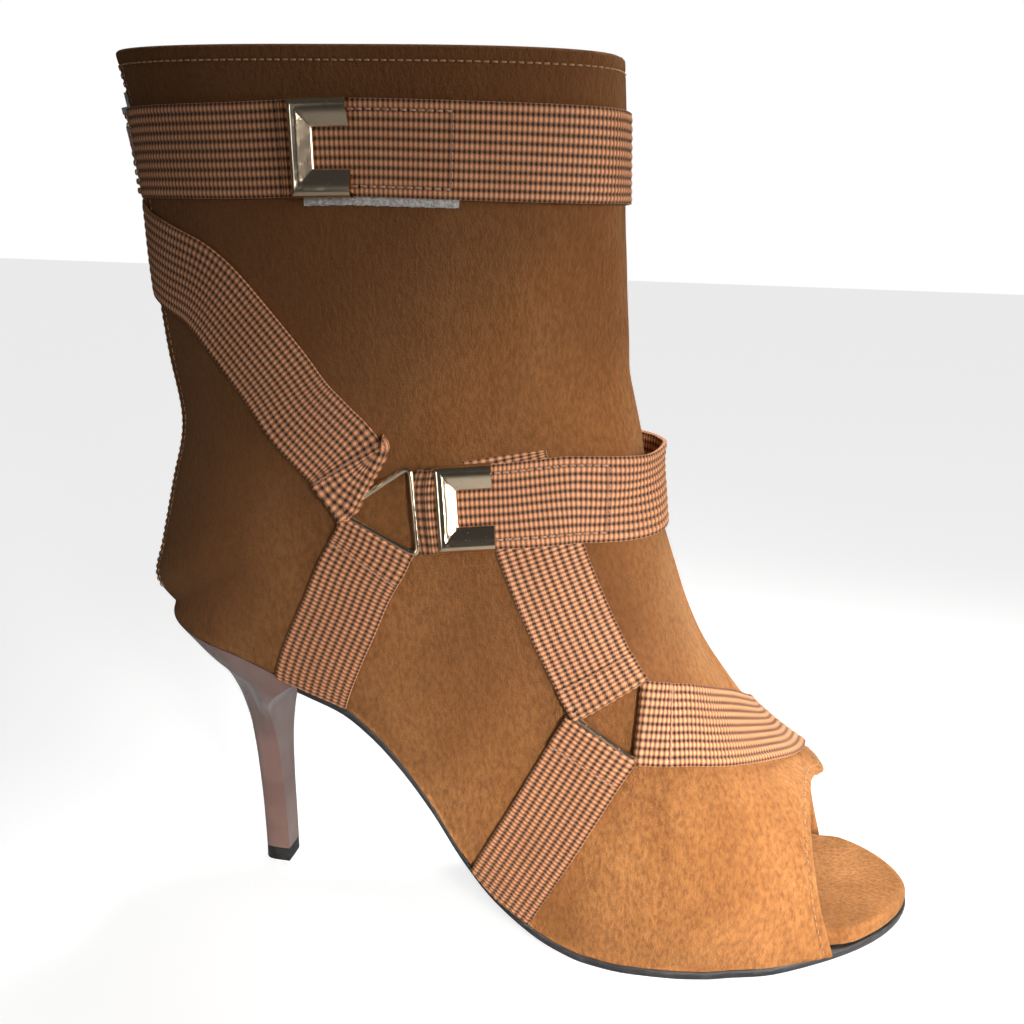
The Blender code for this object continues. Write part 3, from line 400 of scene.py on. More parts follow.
def last_point(s, t):
    """Point of the upper's outer face at section s (0 at the peep toe, COLLAR_ROW at the collar) and
    place t round it (-1 outer foot or back seam, 0 crest, 1 inner foot or back seam)."""
    s, t = np.broadcast_arrays(np.asarray(s, float), np.asarray(t, float))
    shape = s.shape
    s = s.ravel()
    t = t.ravel()
    base_x, base_z, crest_x, crest_z, out, inn, belly, top, low = [flowing(column, s) for column in COLUMNS]
    on_foot = s < SEAT_ROW
    # Above the seat the section is closed, so a place past the back seam comes round again.
    t = np.where(on_foot, np.clip(t, -1, 1), (t + 1) % 2 - 1 + 2 * (t == 1))
    mouth = smooth(MOUTH_T, MOUTH_X, t) * np.clip(1 - s / 1.5, 0, 1) ** 2
    base_z = np.where(on_foot, foot_height(base_x + mouth) + GAP, base_z)
    side = np.where(on_foot, foot_side(base_x), 0.0)
    half = np.where(on_foot, foot_half(base_x), 0.0)
    foot = np.where(t < 0, half - side, half + side)
    foot = np.where(on_foot, foot, 0.0)
    widest = np.maximum(np.where(t < 0, out, inn), foot * 1.01)
    # A quarter oval above the belly, and below it an oval cut off where it meets the foot line.
    turn = np.linspace(0, np.pi / 2, 25)[:, None]
    above_w = widest * np.sin(turn) ** (2 / top)
    above_h = belly + (1 - belly) * np.cos(turn) ** (2 / top)
    cut = (1 - (foot / widest) ** low) ** (1 / low)
    turn = np.linspace(0, 1, 25)[1:, None] * np.arcsin(np.minimum(cut ** (low / 2), 1))
    below_w = widest * np.cos(turn) ** (2 / low)
    below_h = belly * (1 - np.sin(turn) ** (2 / low) / cut)
    wide = np.concatenate([above_w, below_w])
    high = np.concatenate([above_h, below_h])
    reach = np.hypot(crest_x - base_x, crest_z - base_z)
    steps = np.hypot(np.diff(wide, axis=0), np.diff(high, axis=0) * reach)
    length = np.concatenate([np.zeros((1, len(s))), np.cumsum(steps, axis=0)])
    want = np.abs(t) * length[-1]
    i = np.clip((length <= want).sum(axis=0) - 1, 0, len(length) - 2)
    n = np.arange(len(s))
    u = np.clip((want - length[i, n]) / np.maximum(length[i + 1, n] - length[i, n], 1e-12), 0, 1)
    w = wide[i, n] + u * (wide[i + 1, n] - wide[i, n])
    h = high[i, n] + u * (high[i + 1, n] - high[i, n])
    x = base_x + (crest_x - base_x) * h + mouth
    z = base_z + (crest_z - base_z) * h - 0.55 * mouth * h
    y = np.where(t < 0, -w, w) + np.maximum(side, 0) * h
    return np.stack([x, y, z], axis=-1).reshape(shape + (3,))


def last_frame(s, t):
    """Point, outward normal and the two derivatives of the outer face at (s, t)."""
    e = 0.01
    point = last_point(s, t)
    low = np.maximum(s - e, 0)
    high = np.minimum(s + e, COLLAR_ROW)
    by_s = (last_point(high, t) - last_point(low, t)) / (high - low)[..., None]
    open_edge = s < SEAT_ROW
    before = np.where(open_edge, np.maximum(t - e, -1), t - e)
    after = np.where(open_edge, np.minimum(t + e, 1), t + e)
    by_t = (last_point(s, after) - last_point(s, before)) / (after - before)[..., None]
    normal = np.cross(by_t, by_s)
    normal /= np.linalg.norm(normal, axis=-1, keepdims=True)
    return point, normal, by_s, by_t


def step_over(s, t, way, length, steps=6):
    """Walks over the last from (s, t) in direction way for length, staying straight on the surface."""
    for _ in range(steps):
        _, normal, by_s, by_t = last_frame(s, t)
        way = way - normal * (way * normal).sum(axis=-1, keepdims=True)
        way = way / np.linalg.norm(way, axis=-1, keepdims=True)
        ss = (by_s * by_s).sum(axis=-1)
        tt = (by_t * by_t).sum(axis=-1)
        st = (by_s * by_t).sum(axis=-1)
        ws = (by_s * way).sum(axis=-1)
        wt = (by_t * way).sum(axis=-1)
        room = np.maximum(ss * tt - st * st, 1e-18)
        s = s + length / steps * (ws * tt - wt * st) / room
        t = t + length / steps * (wt * ss - ws * st) / room
        s = np.clip(s, 0, COLLAR_ROW)
        t = np.where(s < SEAT_ROW, np.clip(t, -1, 1), t)
    return s, t


# Soft troughs and swells: section, place, reach along both in metres, and height of the middle.
CREASES = (
    (17.2, -0.10, 0.016, 0.030, -0.0009),
    (18.4, -0.42, 0.020, 0.026, 0.0007),
    (14.2, -0.62, 0.018, 0.022, -0.0007),
    (9.6, -0.62, 0.020, 0.020, 0.0006),
    (4.2, -0.55, 0.016, 0.022, -0.0005),
    (17.0, 0.30, 0.018, 0.030, -0.0009),
    (12.4, 0.55, 0.018, 0.026, 0.0008),
    (23.2, -0.55, 0.010, 0.030, -0.0005),
)


def upper_relief(s, t, point, by_s, by_t):
    """Height of the suede over the last: the sum of round swells exp(-d^2), a front seam that is a
    narrow groove between two low ridges, and the thread grooves just inside both edges."""
    relief = np.zeros(s.shape)
    for row, place, along, across, high in CREASES:
        middle = last_point(np.array(row), np.array(place))
        far = np.linalg.norm(point - middle, axis=-1)
        relief += high * np.exp(-((far / (along + across)) ** 2) * 2)
    off_seam = np.abs(t) * np.linalg.norm(by_t, axis=-1)
    relief += -SEAM_DEEP * np.exp(-((off_seam / SEAM_WIDE) ** 2))
    relief += 0.6 * SEAM_DEEP * np.exp(-(((off_seam - 2.6 * SEAM_WIDE) / (1.6 * SEAM_WIDE)) ** 2))
    below_collar = (COLLAR_ROW - s) * np.linalg.norm(by_s, axis=-1)
    behind_mouth = s * np.linalg.norm(by_s, axis=-1)
    relief += -0.00025 * np.exp(-(((below_collar - TOPSTITCH_IN) / 0.0005) ** 2))
    relief += -0.00025 * np.exp(-(((behind_mouth - MOUTH_STITCH_IN) / 0.0005) ** 2))
    return relief


def on_upper(s, t, lift):
    """Points standing off the suede's face at (s, t) by lift, with their normals."""
    point, normal, by_s, by_t = last_frame(s, t)
    stand = upper_relief(s, t, point, by_s, by_t) + lift
    return point + normal * stand[..., None], normal


def upper_shell():
    """Grid that runs round the wall: up the outer face, over the collar's rim, down the inner face and
    round the peep toe's rim. A rim point is the wall's middle plus half a wall turned from the face's
    normal toward the edge."""
    s = np.concatenate(
        [
            np.linspace(0, 0.6, 16),
            np.linspace(0.6, SEAT_ROW, 104)[1:],
            np.linspace(SEAT_ROW, 23.3, 70)[1:],
            np.linspace(23.3, COLLAR_ROW, 26)[1:],
        ]
    )
    u = np.linspace(-1, 1, 151)
    t = np.sign(u) * np.abs(u) ** 1.5
    s, t = np.meshgrid(s, t, indexing="ij")
    _, normal, by_s, _ = last_frame(s, t)
    outer, _ = on_upper(s, t, np.zeros(s.shape))
    inner = outer - normal * WALL
    closed = s[:, 0] >= SEAT_ROW
    for face in (outer, inner):
        middle = (face[closed, 0] + face[closed, -1]) / 2
        face[closed, 0] = middle
        face[closed, -1] = middle
    for edge in (0, -1):
        inner[~closed, edge, 2] = outer[~closed, edge, 2]
    rims = []
    for row, way in ((-1, 1), (0, -1)):
        edge = way * by_s[row] / np.linalg.norm(by_s[row], axis=-1, keepdims=True)
        turn = np.linspace(0, np.pi, 9)[1:-1, None, None]
        middle = (outer[row] + inner[row]) / 2
        half = (outer[row] - inner[row]) / 2
        rim = middle + half * np.cos(turn) + edge * np.sin(turn) * WALL / 2
        rims.append(rim if way == 1 else rim[::-1])
    points = np.concatenate([outer, rims[0], inner[::-1], rims[1]])
    rows, columns = points.shape[:2]
    faces = grid_faces(rows, columns, round_rows=True)
    row_of = np.repeat(np.arange(rows), columns - 1)
    first_inner = len(outer) + len(rims[0])
    depth = np.linalg.norm(np.diff(inner[::-1, 75], axis=0, prepend=inner[-1:, 75]), axis=-1).cumsum()
    lined_from = first_inner + int(np.argmax(depth > FACING))
    lined_to = first_inner + int(np.argmax(depth > depth[-1] - FACING))
    lined = (row_of >= lined_from) & (row_of < lined_to)
    # The strips that close the foot edge between the two faces.
    i = np.arange(int(closed.argmax()))
    back = first_inner + len(inner) - 1 - i
    for edge in (0, columns - 1):
        a, b = i * columns + edge, (i + 1) * columns + edge
        c, d = (back - 1) * columns + edge, back * columns + edge
        strip = np.stack([a, b, c, d] if edge else [d, c, b, a], axis=-1)
        faces = np.concatenate([faces, strip])
        lined = np.concatenate([lined, np.zeros(len(i), bool)])
    return points, faces, lined


def patches(made, at, scale, detail=3.0, rough=0.6, low=0.35, high=0.65):
    """Soft patches from 0 to 1: a noise of that scale at a place, stretched to full contrast."""
    noise = add(made, "TexNoise", {"Vector": at, "Scale": scale, "Detail": detail, "Roughness": rough})
    ends = {"Value": noise.outputs["Fac"], "From Min": low, "From Max": high}
    return add(made, "MapRange", ends).outputs[0]


def blended(made, share, first, second):
    """Colour between two colours by a share from 0 to 1."""
    node = add(made, "Mix", {"Factor": share}, data_type="RGBA")
    for i, colour in ((6, first), (7, second)):
        if isinstance(colour, bpy.types.NodeSocket):
            made.node_tree.links.new(colour, node.inputs[i])
        else:
            node.inputs[i].default_value = (*colour, 1.0)
    return node.outputs[2]


def maths(made, operation, *values):
    """Result of a Math node for sockets or numbers."""
    return add(made, "Math", dict(enumerate(values)), operation=operation).outputs[0]


def bumped(made, height, distance, strength=1.0, normal=None):
    """Normal raised by a height from 0 to 1 over a distance in metres."""
    inputs = {"Height": height, "Distance": distance, "Strength": strength}
    if normal is not None:
        inputs["Normal"] = normal
    return add(made, "Bump", inputs).outputs[0]


def suede_look(made):
    """Microsuede: broad brushed patches, nap a millimetre across laid in short strokes, a fine tooth that
    breaks up the light, and painted shade: the colour darkens up the shaft toward its back and in a round
    patch at the instep."""
    at = add(made, "TexCoord").outputs["Object"]
    lie = {"Vector": at, "Rotation": (0.3, 0.5, 0.2), "Scale": (1.0, 1.0, 0.55)}
    swept = add(made, "Mapping", lie).outputs[0]
    brushed = patches(made, swept, 42.0, detail=4.0, low=0.30, high=0.70)
    nap = patches(made, swept, 900.0, detail=3.0, low=0.36, high=0.68)
    tooth = patches(made, at, 3600.0, detail=1.0, low=0.2, high=0.8)
    colour = blended(made, brushed, (0.330, 0.128, 0.036), (0.560, 0.245, 0.083))
    placed_at = add(made, "SeparateXYZ", {"Vector": at}).outputs
    along, height = placed_at[0], placed_at[2]
    # Painted shade: the colour darkens up the shaft and toward its back, standing in for the shade that falls
    # there.
    painted_shaft_shade = maths(made, "MULTIPLY_ADD", height, 5.0, maths(made, "MULTIPLY_ADD", along, -6.0, 0.24))
    painted_shaft_shade = maths(made, "MINIMUM", maths(made, "MAXIMUM", painted_shaft_shade, 0.0), 0.88)
    colour = blended(made, painted_shaft_shade, colour, (0.130, 0.055, 0.022))
    # Painted shade: a round darker patch centred on the instep, standing in for the shade there.
    around = add(made, "Mapping", {"Vector": at, "Location": (-1.7, 0.5, -1.6), "Scale": (18.0, 18.0, 18.0)})
    painted_instep_shade = add(made, "TexGradient", {"Vector": around.outputs[0]})
    painted_instep_shade.gradient_type = "SPHERICAL"
    painted_instep_shade = maths(made, "MULTIPLY", painted_instep_shade.outputs[1], 0.9)
    colour = blended(made, painted_instep_shade, colour, (0.150, 0.063, 0.024))
    colour = blended(made, maths(made, "MULTIPLY", nap, 0.58), colour, (0.140, 0.052, 0.016))
    rise = maths(made, "ADD", maths(made, "MULTIPLY", nap, 0.6), maths(made, "MULTIPLY", tooth, 0.4))
    return {
        "Base Color": colour,
        "Roughness": 0.95,
        "Specular IOR Level": 0.12,
        "Sheen Weight": 0.20,
        "Sheen Roughness": 0.45,
        "Sheen Tint": (1.0, 0.72, 0.45, 1.0),
        "Normal": bumped(made, rise, 0.00042),
    }


def lining_look(made):
    """Black lining cloth: a fine even tooth on a near black."""
    at = add(made, "TexCoord").outputs["Object"]
    tooth = patches(made, at, 2200.0, detail=1.0)
    colour = blended(made, tooth, (0.010, 0.010, 0.011), (0.026, 0.025, 0.026))
    return {"Base Color": colour, "Roughness": 0.85, "Normal": bumped(made, tooth, 0.0001)}


suede = finish_of("camel_microsuede", suede_look)
lining = finish_of("black_lining", lining_look)
points, faces, lined = upper_shell()
upper = piece("upper_suede", points, faces, [suede, lining], face_looks=lined)
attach(upper, "boot")
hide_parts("upper")


def threads(name, start, end, normal, thick, look, rise=1.0):
    """Stitches between pairs of points: each a round thread that comes up, lies along the surface and
    goes down again. Its centre is the chord plus rise times thick times sqrt(sin) of the way along."""
    way = end - start
    long = np.linalg.norm(way, axis=-1, keepdims=True)
    side = np.cross(normal, way / long)
    u = np.array([0.0, 0.08, 0.3, 0.5, 0.7, 0.92, 1.0])[None, :, None]
    arch = np.array([-0.6, 0.25, 0.55, 0.6, 0.55, 0.25, -0.6])[None, :, None] * rise * thick
    centre = start[:, None] + way[:, None] * u + normal[:, None] * arch
    turn = np.linspace(0, 2 * np.pi, 7)[:-1][None, None, :, None]
    fat = np.array([0.6, 1.0, 1.0, 1.0, 1.0, 1.0, 0.6])[None, :, None, None] * thick / 2
    ring = np.cos(turn) * side[:, None, None] + np.sin(turn) * normal[:, None, None]
    points = centre[:, :, None] + ring * fat
    count = points.shape[1] * points.shape[2]
    one = grid_faces(points.shape[1], points.shape[2], round_columns=True)
    faces = (one[None] + np.arange(len(points))[:, None, None] * count).reshape(-1, 4)
    made = piece(name, points, faces[:, ::-1], look)
    return made


def stitch_ends(line, pitch, filled=0.72):
    """Start and end of each stitch of one pitch along a line of points, and where they fall on it."""
    run = np.concatenate([[0], np.linalg.norm(np.diff(line, axis=0), axis=1).cumsum()])
    count = max(1, int(round(run[-1] / pitch)))
    at = (np.arange(count)[:, None] + np.array([0.5 - filled / 2, 0.5 + filled / 2])) * run[-1] / count
    ends = [np.stack([np.interp(at[:, k], run, line[:, axis]) for axis in range(3)], axis=-1) for k in (0, 1)]
    return ends[0], ends[1], at.mean(axis=1) / run[-1]


def sewn_on_upper(name, s, t, pitch, thick, look, filled=0.72):
    """Row of stitches along the line of sections s and places t on the suede."""
    line, normal = on_upper(s, t, np.full(s.shape, 0.0001))
    start, end, at = stitch_ends(line, pitch, filled)
    share = np.linspace(0, 1, len(s))
    up = np.stack([np.interp(at, share, normal[:, axis]) for axis in range(3)], axis=-1)
    up /= np.linalg.norm(up, axis=-1, keepdims=True)
    made = threads(name, start, end, up, thick, look)
    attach(made, "boot")
    return made


def thread_look(made):
    """Waxed sewing thread: a fine twist across a matte tan."""
    at = add(made, "TexCoord").outputs["Object"]
    twist = patches(made, at, 5000.0, detail=0.0)
    colour = blended(made, twist, (0.330, 0.160, 0.065), (0.560, 0.300, 0.140))
    return {"Base Color": colour, "Roughness": 0.7, "Sheen Weight": 0.2}


suede_thread = finish_of("tan_thread", thread_look)
wide_t = np.linspace(-0.985, 0.985, 400)
per_row = np.linalg.norm(last_frame(np.full(400, 23.9), wide_t)[2], axis=-1)
sewn_on_upper("collar_topstitch", COLLAR_ROW - TOPSTITCH_IN / per_row, wide_t, 0.0019, 0.0004, suede_thread)
wide_t = np.linspace(-0.99, 0.99, 400)
per_row = np.linalg.norm(last_frame(np.full(400, 0.1), wide_t)[2], axis=-1)
sewn_on_upper("toe_topstitch", MOUTH_STITCH_IN / per_row, wide_t, 0.0021, 0.00045, suede_thread, filled=0.6)
for side, place in (("outer", -0.930), ("inner", 0.930)):
    for row, step in enumerate((0.0, 0.022)):
        s_line = np.linspace(15.6, 23.85, 300)
        t_line = np.full(300, place - np.sign(place) * step)
        sewn_on_upper(f"back_topstitch_{side}_{row}", s_line, t_line, 0.0019, 0.0003, suede_thread)


# The insole: a moulded board with a thin foam pad, covered in the same suede, which shows in front of
# the peep toe with its rounded edge. It is cemented on the outsole and its rim stands just inside the
# upper.
INSOLE_THICK = 0.0042
BREAST_X = 0.0165
MOUTH_FRONT = 0.7580


def foot_loop(start, count=180):
    """Closed outline of the foot line from x = start round the toe and back, with its outward normals:
    the two edges of foot_half about foot_side, evenly spaced, and a straight line across at start."""
    turn = np.linspace(0, np.pi / 2, 400)
    middle_x = 0.45 * LENGTH
    front = middle_x + (TOE_X - middle_x) * np.sin(turn)
    if start <= BACK_X + 1e-6:
        back = BACK_X + (middle_x - BACK_X) * (1 - np.cos(turn))
    else:
        back = np.linspace(start, middle_x, 400)
    x = np.concatenate([back, front[1:]])
    outer = np.stack([x, foot_side(x) - foot_half(x)], axis=-1)
    inner = np.stack([x, foot_side(x) + foot_half(x)], axis=-1)
    loop = np.concatenate([outer, inner[::-1]])
    run = np.concatenate([[0], np.linalg.norm(np.diff(loop, axis=0), axis=1).cumsum()])
    even = np.linspace(0, run[-1], count)
    if start <= BACK_X + 1e-6:
        even = even[:-1]
    loop = np.stack([np.interp(even, run, loop[:, axis]) for axis in (0, 1)], axis=-1)
    along = np.roll(loop, -1, axis=0) - np.roll(loop, 1, axis=0)
    if start > BACK_X + 1e-6:
        along[0] = loop[1] - loop[0]
        along[-1] = loop[-1] - loop[-2]
    normal = np.stack([along[:, 1], -along[:, 0]], axis=-1)
    return loop, normal / np.linalg.norm(normal, axis=1, keepdims=True)


def sole_layer(start, profile, inset, shares=(0.97, 0.85, 0.6, 0.3, 0.0), count=180):
    """Closed layer on the foot line. profile: (distance inside the outline, height over the foot line)
    from its bottom edge up and over to its top edge; from both ends the surface runs in to the foot's
    centre line at those shares of the half width."""
    loop, normal = foot_loop(start, count)
    at_inset = inset(loop[:, 0])
    rings = []
    for inward, high in profile:
        flat = loop - normal * (at_inset + inward)[:, None]
        flat[:, 0] = np.clip(flat[:, 0], start, TOE_X)
        rings.append(np.concatenate([flat, (foot_height(flat[:, 0]) + high)[:, None]], axis=1))
    caps = []
    for edge, high in ((rings[0], profile[0][1]), (rings[-1], profile[-1][1])):
        centre = np.stack([edge[:, 0], foot_side(edge[:, 0])], axis=-1)
        inside = []
        for share in shares:
            flat = centre + (edge[:, :2] - centre) * share
            inside.append(np.concatenate([flat, (foot_height(flat[:, 0]) + high)[:, None]], axis=1))
        caps.append(inside)
    return np.array(caps[0][::-1] + rings + caps[1])


def insole_inset(x):
    """Distance of the insole's rim from the outline: inside the wall, and out to the edge where it shows."""
    inside = WALL + 3 * GAP
    shown = np.clip((x - MOUTH_FRONT * LENGTH) / (0.02 * LENGTH), 0, 1)
    seat = np.clip((-0.02 * LENGTH - x) / (0.1 * LENGTH), 0, 1)
    return inside + (0.0004 - inside) * shown + 0.0020 * seat


edge_turn = np.linspace(0, np.pi / 2, 9)
rim_high = np.concatenate([[0.0, 0.0004], 0.0016 + (INSOLE_THICK - 0.0016) * np.sin(edge_turn)])
rim_in = np.concatenate([[0.0006, 0.0001], 0.0024 * (1 - np.cos(edge_turn))])
layer = sole_layer(BACK_X, list(zip(rim_in, rim_high + GAP)), insole_inset)
insole = piece("insole_cover", layer, grid_faces(*layer.shape[:2], round_columns=True), suede)
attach(insole, "boot")
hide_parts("insole")


# The outsole: a thin black rubber sheet with a buffed edge, cemented under the upper and the insole.
# It bends with the shank, runs up the breast of the heel, and lies flat on the floor under the ball.
def outsole_look(made):
    """Black sole rubber: faint scuffs, and a fine moulded tooth."""
    at = add(made, "TexCoord").outputs["Object"]
    scuff = patches(made, at, 240.0, detail=5.0, low=0.45, high=0.75)
    tooth = patches(made, at, 2600.0, detail=1.0)
    colour = blended(made, scuff, (0.020, 0.020, 0.021), (0.060, 0.058, 0.056))
    rough = add(made, "MapRange", {"Value": scuff, "To Min": 0.42, "To Max": 0.62}).outputs[0]
    return {"Base Color": colour, "Roughness": rough, "Normal": bumped(made, tooth, 0.00006)}


rubber = finish_of("black_sole_rubber", outsole_look)
sole_turn = np.linspace(0, np.pi, 9)
rim_high = -SOLE_THICK / 2 - (SOLE_THICK / 2) * np.cos(sole_turn)
rim_in = 0.0005 * (1 - np.sin(sole_turn))
layer = sole_layer(BREAST_X + GAP, list(zip(rim_in, rim_high)), np.zeros_like)
outsole = piece("outsole_sheet", layer, grid_faces(*layer.shape[:2], round_columns=True), rubber)
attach(outsole, "boot")
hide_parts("outsole")


# The heel: a slim moulded stiletto in a glossy mauve brown lacquer, with a flat breast that meets its
# sides in crisp edges. It is nailed up through the insole board, and its black top piece is pinned on.
TOP_PIECE_HIGH = 0.0045
TIP_LONG = 0.0079
TIP_WIDE = 0.0082
# Heel, from its top down. drop: share of the way to the tip. front, back and half: shares of what
# the seat reaches beyond the tip. lean: shift toward the toe, share of TIP_LONG.
HEEL_ROWS = (
    # drop, front, back, half, lean
    (0.000, 1.000, 1.000, 1.000, 0.00),
    (0.045, 0.700, 0.890, 0.920, 0.00),
    (0.116, 0.300, 0.710, 0.760, -0.03),
    (0.183, 0.060, 0.475, 0.550, -0.07),
    (0.260, 0.000, 0.300, 0.350, -0.14),
    (0.356, 0.000, 0.165, 0.195, -0.15),
    (0.468, 0.000, 0.075, 0.095, -0.14),
    (0.635, 0.000, 0.025, 0.040, -0.10),
    (0.808, 0.000, 0.008, 0.010, -0.04),
    (1.000, 0.000, 0.000, 0.000, 0.00),
)


def tip_ring(inset, around):
    """Rounded square of the heel's tip, open at the breast, from its outer front corner round the back:
    x falls by |sin|^0.45 and y goes by |cos|^0.45 of the way around."""
    long = TIP_LONG - 2 * inset
    wide = TIP_WIDE / 2 - inset
    x = long / 2 - long * np.abs(np.sin(around)) ** 0.45
    y = -np.sign(np.cos(around)) * wide * np.abs(np.cos(around)) ** 0.45
    return x, y


def heel_loops():
    """Rings from the seat down to the tip: each is the tip's ring moved out toward the seat's outline
    by shares that fall along the drop, then closed across the breast."""
    around = np.linspace(0, np.pi, 97)
    x, y = tip_ring(0.0, around)
    seat_x = BREAST_X - (BREAST_X - BACK_X) * np.sin(around)
    seat_y = foot_side(seat_x) - np.sign(np.cos(around)) * foot_half(seat_x)
    seat_z = foot_height(seat_x)
    rel = (seat_x - BACK_X) / (BREAST_X - BACK_X)
    table = np.array(HEEL_ROWS)
    drops = np.concatenate([np.linspace(0, 0.3, 40), np.linspace(0.3, 1, 40)[1:]])
    front, back, half, lean = (smooth(table[:, 0], table[:, i], drops)[:, None] for i in (1, 2, 3, 4))
    share = back + (front - back) * rel
    loop_x = x + (seat_x - x) * share + lean * TIP_LONG
    loop_y = y + (seat_y - y) * half
    loop_z = seat_z + (TOP_PIECE_HIGH + 0.0001 - seat_z) * drops[:, None]
    loop = np.stack(np.broadcast_arrays(loop_x, loop_y, loop_z), axis=-1)
    k = np.linspace(0, 1, 22)[1:-1, None]
    breast = loop[:, -1:] + (loop[:, :1] - loop[:, -1:]) * k
    return np.concatenate([loop, breast], axis=1)


def capped(loops):
    """The rings with each end run in to its own middle."""
    ends = []
    for ring in (loops[0], loops[-1]):
        middle = ring.mean(axis=0)
        ends.append([middle + (ring - middle) * k for k in (0.0, 0.5, 0.98)])
    return np.concatenate([ends[0], loops, ends[1][::-1]])


def lacquer_look(made):
    """Lacquered heel: a mauve brown under a clear glossy coat, with a few hairline scratches and a
    slightly uneven flow."""
    at = add(made, "TexCoord").outputs["Object"]
    flow = patches(made, at, 60.0, detail=2.0)
    colour = blended(made, flow, (0.260, 0.150, 0.125), (0.340, 0.200, 0.170))
    drawn = add(made, "Mapping", {"Vector": at, "Scale": (1.0, 1.0, 0.06)}).outputs[0]
    scratch = patches(made, drawn, 2600.0, detail=1.0, low=0.66, high=0.74)
    rough = add(made, "MapRange", {"Value": scratch, "To Min": 0.10, "To Max": 0.26}).outputs[0]
    return {
        "Base Color": colour,
        "Roughness": rough,
        "Coat Weight": 0.8,
        "Coat Roughness": 0.06,
        "Normal": bumped(made, flow, 0.0002, strength=0.25),
    }


lacquer = finish_of("mauve_lacquer", lacquer_look)
loops = capped(heel_loops())
sheet = grid_faces(*loops.shape[:2], round_columns=True)
heel = piece("stiletto", loops, sheet, lacquer, sharp=np.radians(32))
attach(heel, "boot")
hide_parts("heel")

around = np.linspace(0, np.pi, 61)
layers = []
TOP_PIECE_ROWS = (
    # height, inset
    (TOP_PIECE_HIGH, 0.0002),
    (TOP_PIECE_HIGH - 0.0002, 0.0),
    (0.0007, 0.0),
    (0.0002, 0.0002),
    (0.0, 0.0006),
)
for height, inset in TOP_PIECE_ROWS:
    x, y = tip_ring(inset, around)
    layers.append(np.stack([x, y, np.full(len(x), height)], axis=-1))
loops = capped(np.array(layers))
sheet = grid_faces(*loops.shape[:2], round_columns=True)
top_piece = piece("heel_top_piece", loops, sheet, rubber, sharp=np.radians(40))
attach(top_piece, "boot")
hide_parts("top_piece")


# The harness: copper brown polyester webbing, ten ribs wide with a roped selvedge, woven so that a
# row of small holes shows between the ribs. Its ends are sewn into the back seam and under the sole,
# or folded round the wire rings and sewn down.
WEB_WIDE = 0.0203
WEB_THICK = 0.0013
SEAM = -0.965
WEB_RIBS = 10
WEB_PITCH = 0.00114
FOLD_LONG = 0.0058
FOLD_THICK = 0.0010
RING_WIRE = 0.0016

# Webbing straps. The first value: the place of the seam along which the strap starts, if it has one.
# section and place: on the last, as in last_point. lift: stand-off from the upper, and tilt: how much
# more its upper edge stands off than its lower one, both in WEB_THICKs.
STRAPS = {
    # section, place, lift, tilt
    "strap_collar": (None, (
        (22.50, SEAM, 0.0, 0.0),
        (22.50, -0.88, 0.0, 0.0),
        (22.50, -0.70, 0.0, 0.0),
        (22.54, -0.50, 0.0, 0.0),
        (22.50, -0.30, 0.0, 0.0),
        (22.46, -0.12, 0.0, 0.0),
        (22.44, 0.0, 0.0, 0.0),
        (22.42, 0.12, 0.0, 0.0),
        (22.46, 0.30, 0.0, 0.0),
        (22.50, 0.50, 0.0, 0.0),
        (22.50, 0.70, 0.0, 0.0),
        (22.50, 0.88, 0.0, 0.0),
        (22.50, -SEAM, 0.0, 0.0),
    )),
    "strap_ankle": (SEAM, (
        (21.52, -1.030, 0.0, 0.0),
        (21.30, -0.955, 0.0, 0.0),
        (21.01, -0.867, 0.0, 0.0),
        (20.66, -0.790, 0.0, 0.0),
        (19.98, -0.726, 0.0, 0.0),
        (18.69, -0.640, 0.0, 0.0),
        (17.03, -0.520, 0.0, 0.0),
        (15.66, -0.471, 0.0, 0.0),
    )),
    "strap_arch": (None, (
        (12.28, -0.578, 0.0, 0.0),
        (12.00, -0.620, 0.0, 0.0),
        (11.45, -0.739, 0.0, 0.0),
        (11.02, -0.870, 0.0, 0.0),
        (10.64, -1.000, 0.0, 0.0),
    )),
    "strap_instep": (None, (
        (12.36, -0.462, 1.25, 0.0),
        (11.91, -0.426, 1.3, 0.0),
        (10.88, -0.330, 1.5, 0.3),
        (9.50, -0.203, 1.9, 1.0),
        (8.40, -0.074, 2.0, 2.6),
        (8.25, 0.010, 2.0, 3.2),
        (8.75, 0.090, 1.6, 2.6),
        (9.75, 0.200, 0.7, 1.3),
        (10.35, 0.330, 0.1, 0.3),
        (10.65, 0.500, 0.0, 0.0),
        (10.70, 0.700, 0.0, 0.0),
        (10.68, 0.850, 0.0, 0.0),
        (10.64, 1.000, 0.0, 0.0),
    )),
    "strap_drop": (None, (
        (12.70, -0.290, 0.0, 0.0),
        (11.36, -0.330, 0.0, 0.0),
        (9.80, -0.385, 0.0, 0.0),
        (8.77, -0.402, 0.0, 0.0),
        (7.66, -0.407, 0.0, 0.0),
        (6.79, -0.418, 0.0, 0.0),
    )),
    "strap_vamp": (None, (
        (5.36, -0.387, 0.0, 0.0),
        (4.29, -0.326, 0.0, 0.0),
        (3.00, -0.236, 0.1, 0.0),
        (2.05, -0.125, 0.15, 0.0),
        (1.42, 0.000, 0.15, 0.0),
        (1.20, 0.120, 0.15, 0.0),
        (1.15, 0.280, 0.15, 0.0),
        (1.20, 0.500, 0.1, 0.0),
        (1.25, 0.750, 0.0, 0.0),
        (1.30, 1.000, 0.0, 0.0),
    )),
    "strap_ball": (None, (
        (6.52, -0.520, 0.0, 0.0),
        (6.64, -0.572, 0.0, 0.0),
        (6.84, -0.689, 0.0, 0.0),
        (7.07, -0.862, 0.0, 0.0),
        (7.21, -1.000, 0.0, 0.0),
    )),
}


